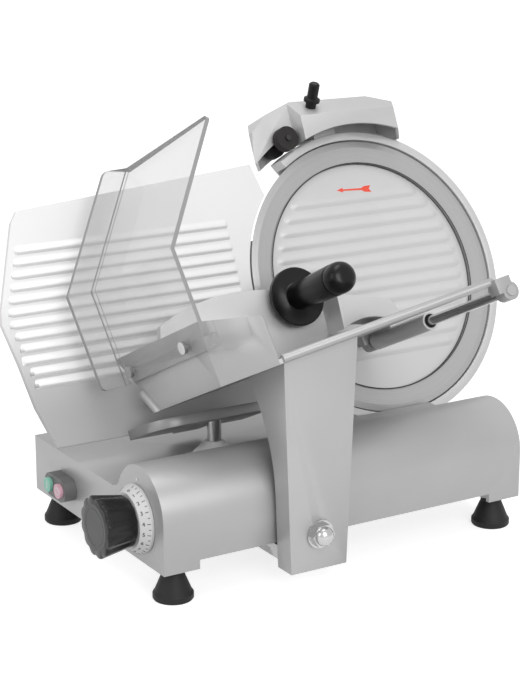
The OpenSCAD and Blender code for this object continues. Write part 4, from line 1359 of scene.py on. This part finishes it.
@dataclass
class GuardUnit(SubAssembly):
    """Clear guard: a folded sheet with a turned-out flange and sawn edges."""

    tray: TrayFrame
    thickness: float = 4.0
    out: float = -44.0
    low: float = 35.0
    low_height: float = 98.5
    high_height: float = 138.0
    lean: float = math.radians(38.4)
    near: float = 36.0
    far: float = 218.0
    flange_out: float = 28.0
    flange_back: float = -6.0
    flange_up: float = 2.0
    corner: float = 6.0
    corner_steps: int = 4
    fold_lines: tuple = ((0.0, 0.7), (-9.0, 0.35))
    fold_in: float = 0.3
    fold_sides: int = 8
    tab_near: float = 16.0
    tab_top: float = 48.0

    def outline(self) -> list:
        """Profile of the sheet, from its lower edge to its top.

        Returns:
            Pairs of across and up, on the outer side.
        """
        a = Vector((self.out, self.low + self.low_height))
        d = Vector((math.sin(self.lean), math.cos(self.lean)))
        return [Vector((self.out, self.low)), a, a + d * self.high_height]

    def build(self) -> None:
        """Makes the sheet that stands for the plain solid."""
        shape = bmesh.new()
        rows = []
        profile = self.outline()
        profile.insert(1, Vector((self.out, self.tab_top)))
        for p in profile:
            far = (p.x - self.flange_out, self.far + self.flange_back, p.y + self.flange_up)
            places = [(p.x, self.near, p.y), (p.x, self.far, p.y), far]
            rows.append([shape.verts.new(self.tray.point(*q)) for q in places])
        for a, b in zip(rows, rows[1:]):
            for i in range(len(a) - 1):
                shape.faces.new((a[i], b[i], b[i + 1], a[i + 1]))
        tab = [shape.verts.new(self.tray.point(self.out, self.tab_near, w)) for w in (self.low, self.tab_top)]
        shape.faces.new((*tab, rows[1][0], rows[0][0]))
        corners = [rows[-1][0], rows[0][-1], rows[-1][-1]]
        bmesh.ops.bevel(
            shape, geom=corners, offset=self.corner * MM, segments=self.corner_steps, profile=0.5, affect="VERTICES"
        )
        bmesh.ops.recalc_face_normals(shape, faces=shape.faces)
        clear, edge = self.finishes.by_slot[Slot.CLEAR], self.finishes.sheet_edge
        mesh = mesh_from(shape, "guard_flat")
        work = in_scene("guard_work", mesh)
        mesh.materials.append(clear)
        mesh.materials.append(edge)
        thick = work.modifiers.new("thick", "SOLIDIFY")
        thick.thickness = self.thickness * MM
        thick.offset = -1.0
        thick.material_offset_rim = 1
        thick.use_even_offset = True
        sheet = baked(work, "guard_sheet")
        rims = [p.material_index for p in sheet.polygons]
        piece = self.add(sheet, "guard_sheet", "clear_guard", clear)
        sheet.materials.append(edge)
        for polygon, rim in zip(sheet.polygons, rims):
            polygon.material_index = rim
        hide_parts("clear_guard")
        self.folds()

    def folds(self) -> None:
        """Adds the grey lines along the fold of the flange."""
        shape = bmesh.new()
        for back, radius in self.fold_lines:
            places = [self.tray.point(p.x + self.fold_in, self.far + back, p.y) for p in self.outline()]
            for a, b in zip(places, places[1:]):
                turn = (b - a).to_track_quat("Z", "Y").to_matrix().to_4x4()
                place = Matrix.Translation((a + b) / 2) @ turn
                bmesh.ops.create_cone(
                    shape, cap_ends=True, segments=self.fold_sides, radius1=radius * MM, radius2=radius * MM,
                    depth=(b - a).length, matrix=place,
                )
        self.add_shape(shape, "guard_folds", "clear_guard", self.finishes.sheet_edge)


@dataclass
class CarriageUnit(SubAssembly):
    """Arm and tray of the carriage."""

    arm_edge: float = 2.0
    tray_edge: float = 1.0

    def build(self) -> None:
        """Rounds the castings of the carriage."""
        self.soften("arm", self.arm_edge)
        self.soften("tray", self.tray_edge)


@dataclass
class PusherUnit(SubAssembly):
    """Pusher casting and its turned grip."""

    plane: BladePlane
    edge: float = 1.6
    axis: tuple = (-130.5, -17.8)
    steps: int = 48
    sharp: float = math.radians(40)
    profile: tuple = (
        (-43.0, 0.0), (-43.0, 30.0), (-43.6, 31.0), (-48.0, 31.0), (-49.0, 30.0), (-49.0, 15.5), (-50.0, 14.2),
        (-56.0, 13.6), (-64.0, 14.2), (-80.0, 15.2), (-100.0, 15.9), (-124.0, 16.4), (-126.0, 16.2), (-126.8, 15.5),
        (-127.6, 16.2), (-129.0, 16.4), (-136.0, 16.1), (-140.0, 15.0), (-143.0, 12.8), (-144.8, 9.5), (-145.6, 5.0),
        (-145.8, 0.0),
    )

    def grip(self) -> None:
        """Turns the grip that stands for the plain handle."""
        shape = bmesh.new()
        rings = []
        for depth, radius in self.profile:
            radii = [radius] * (self.steps if radius > 0 else 1)
            rings.append(ring(shape, self.plane.point, radii, depth, self.axis))
        skin(shape, rings, smooth=True)
        bmesh.ops.recalc_face_normals(shape, faces=shape.faces)
        self.stand_for("pusher_handle", mesh_from(shape, "grip_turned"), "grip_turned", self.sharp)

    def build(self) -> None:
        """Rounds the casting and turns the grip."""
        self.soften("pusher_casting", self.edge)
        self.grip()


@dataclass
class SharpenerUnit(SubAssembly):
    """Sharpener cover."""

    edge: float = 2.5

    def build(self) -> None:
        """Rounds the cover."""
        self.soften("sharpener_cover", self.edge, segments=3)


@dataclass
class DriveUnit(SubAssembly):
    """Drive cover behind the blade, with its screws and the painted shade of their sockets."""

    plane: BladePlane
    edge: float = 1.0
    back: float = 66.0
    screws: int = 6
    screw_ring: float = 56.0
    head: Vector = field(default_factory=lambda: Vector((8.0, 8.0, 3.2)))
    head_sunk: float = 0.3
    socket: Vector = field(default_factory=lambda: Vector((3.6, 3.6, 0.4)))
    socket_sunk: float = 0.25

    def ring(self, name: str, size: Vector, out: float, material: Material) -> None:
        """Adds a ring of discs on the cover's back.

        Args:
            name: Name of the piece.
            size: Size of a disc.
            out: Height of its middle over the cover.
            material: Its finish.
        """
        turn = self.plane.inward(1).to_track_quat("Z", "Y").to_matrix().to_4x4()
        place = Matrix.Translation(self.plane.point(0, self.back + out, 0)) @ turn
        step = math.tau / self.screws
        pattern = RingPattern(self.screws, step / 2, step, self.screw_ring * MM, size * MM, form=Form.DISC)
        self.add(pattern.mesh(name, place, material), name, "drive_cover", material)

    def build(self) -> None:
        """Rounds the cover and adds its screws, with dark discs painted as the shade in their sockets."""
        self.soften("drive_cover", self.edge)
        self.ring("cover_screws", self.head, self.head.z / 2 - self.head_sunk, self.finishes.by_slot[Slot.BRIGHT])
        # Painted shade: dark discs on the screw heads stand for the shade inside their sockets.
        self.ring("cover_socket_shades", self.socket, self.head.z - self.socket_sunk, self.finishes.painted_shade_ink)


@dataclass
class Studio:
    """Pale floor, soft light and the camera."""

    camera_place: Vector = field(default_factory=lambda: Vector((-1.0136, -1.6038, 0.7165)))
    azimuth: float = math.radians(-31.2228)
    elevation: float = math.radians(16.0128)
    lens: float = 98.467
    sensor: float = 36.0
    reach: float = 100.0
    floor_half: float = 30.0
    floor_tone: float = 0.55
    floor_rough: float = 0.9
    sky: float = 0.52
    glow: float = 0.75
    lamps: tuple = (
        ("key", (-0.4, -2.8, 1.6), (0, 0, 0.2), 1.8, 40),
        ("top", (0.0, -0.2, 2.7), (0, 0, 0.1), 1.4, 20),
        ("left", (-2.4, -0.2, 1.2), (0, 0, 0.2), 1.2, 10),
    )

    def camera(self) -> None:
        """Makes the camera at the photograph's angle."""
        data = bpy.data.cameras.new("camera")
        data.sensor_width = self.sensor
        data.lens = self.lens
        data.clip_end = self.reach
        camera = in_scene("camera", data)
        a, e = self.azimuth, self.elevation
        right = Vector((math.cos(a), math.sin(a), 0))
        back = Vector((math.sin(a) * math.cos(e), -math.cos(a) * math.cos(e), math.sin(e)))
        up = back.cross(right)
        camera.matrix_world = Matrix.Translation(self.camera_place) @ Matrix((right, up, back)).transposed().to_4x4()
        bpy.context.scene.camera = camera

    def seen_rays(self, tree: bpy.types.NodeTree) -> Socket:
        """A value of 1 for rays that show the background: camera, glossy and transmission rays.

        Args:
            tree: Node tree.

        Returns:
            The value.
        """
        path = tree.nodes.new("ShaderNodeLightPath")
        value = path.outputs["Is Camera Ray"]
        for name in ("Is Glossy Ray", "Is Transmission Ray"):
            most = tree.nodes.new("ShaderNodeMath")
            most.operation = "MAXIMUM"
            tree.links.new(value, most.inputs[0])
            tree.links.new(path.outputs[name], most.inputs[1])
            value = most.outputs[0]
        return value

    def world(self) -> None:
        """Makes a white world that lights at a plain level."""
        world = bpy.data.worlds.new("world")
        bpy.context.scene.world = world
        world.use_nodes = True
        tree = world.node_tree
        back = tree.nodes["Background"]
        back.inputs["Color"].default_value = (1, 1, 1, 1)
        level = tree.nodes.new("ShaderNodeMapRange")
        level.inputs["To Min"].default_value = self.sky
        level.inputs["To Max"].default_value = 1.0
        tree.links.new(self.seen_rays(tree), level.inputs["Value"])
        tree.links.new(level.outputs["Result"], back.inputs["Strength"])

    def floor(self) -> None:
        """Makes the floor, pale to the camera and still shaded by the machine."""
        mesh = bpy.data.meshes.new("floor")
        h = self.floor_half
        mesh.from_pydata([(-h, -h, 0), (h, -h, 0), (h, h, 0), (-h, h, 0)], [], [(0, 1, 2, 3)])
        floor = in_scene("floor", mesh)
        graph = NodeGraph("floor_white")
        graph.fixed(Roughness=self.floor_rough)
        graph.shader.inputs["Base Color"].default_value = (*grey(self.floor_tone), 1)
        graph.shader.inputs["Emission Color"].default_value = (1, 1, 1, 1)
        level = graph.add("ShaderNodeMath", operation="MULTIPLY")
        level.inputs[1].default_value = self.glow
        graph.link(self.seen_rays(graph.material.node_tree), level.inputs[0])
        graph.link(level.outputs[0], graph.shader.inputs["Emission Strength"])
        mesh.materials.append(graph.material)

    def lamp(self, name: str, place: tuple, aim: tuple, size: float, power: float) -> None:
        """Makes a soft square lamp.

        Args:
            name: Name of the lamp.
            place: Where it stands.
            aim: Where it points.
            size: Side length.
            power: Power in watts.
        """
        data = bpy.data.lights.new(name, "AREA")
        data.size = size
        data.energy = power
        lamp = in_scene(name, data)
        lamp.location = place
        lamp.rotation_mode = "QUATERNION"
        lamp.rotation_quaternion = (Vector(aim) - Vector(place)).to_track_quat("-Z", "Y")

    def build(self) -> None:
        """Sets the whole stage."""
        bpy.context.scene.view_settings.view_transform = "Standard"
        self.camera()
        self.world()
        self.floor()
        for lamp in self.lamps:
            self.lamp(*lamp)


def main() -> None:
    """Dresses the machine and sets the stage."""
    logging.basicConfig(level=logging.INFO, format="%(name)s: %(message)s")
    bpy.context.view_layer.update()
    blade = next(j for j in frame["joints"] if j["name"] == "blade_spin")
    plane = BladePlane(Vector(blade["pos_m"]), math.atan2(abs(blade["axis"][2]), abs(blade["axis"][1])))
    finishes = Finishes(plane.centre, plane.tilt)
    finishes.dress()
    units = [
        BaseUnit(finishes), DialUnit(finishes), SwitchUnit(finishes), BladeUnit(finishes, plane),
        GaugeUnit(finishes, plane), GuardUnit(finishes, TrayFrame(plane)), CarriageUnit(finishes),
        PusherUnit(finishes, plane), SharpenerUnit(finishes), DriveUnit(finishes, plane),
    ]
    for unit in units:
        LOG.info("unit %s", type(unit).__name__)
        unit.build()
    Studio().build()


if __name__ == "__main__":
    main()
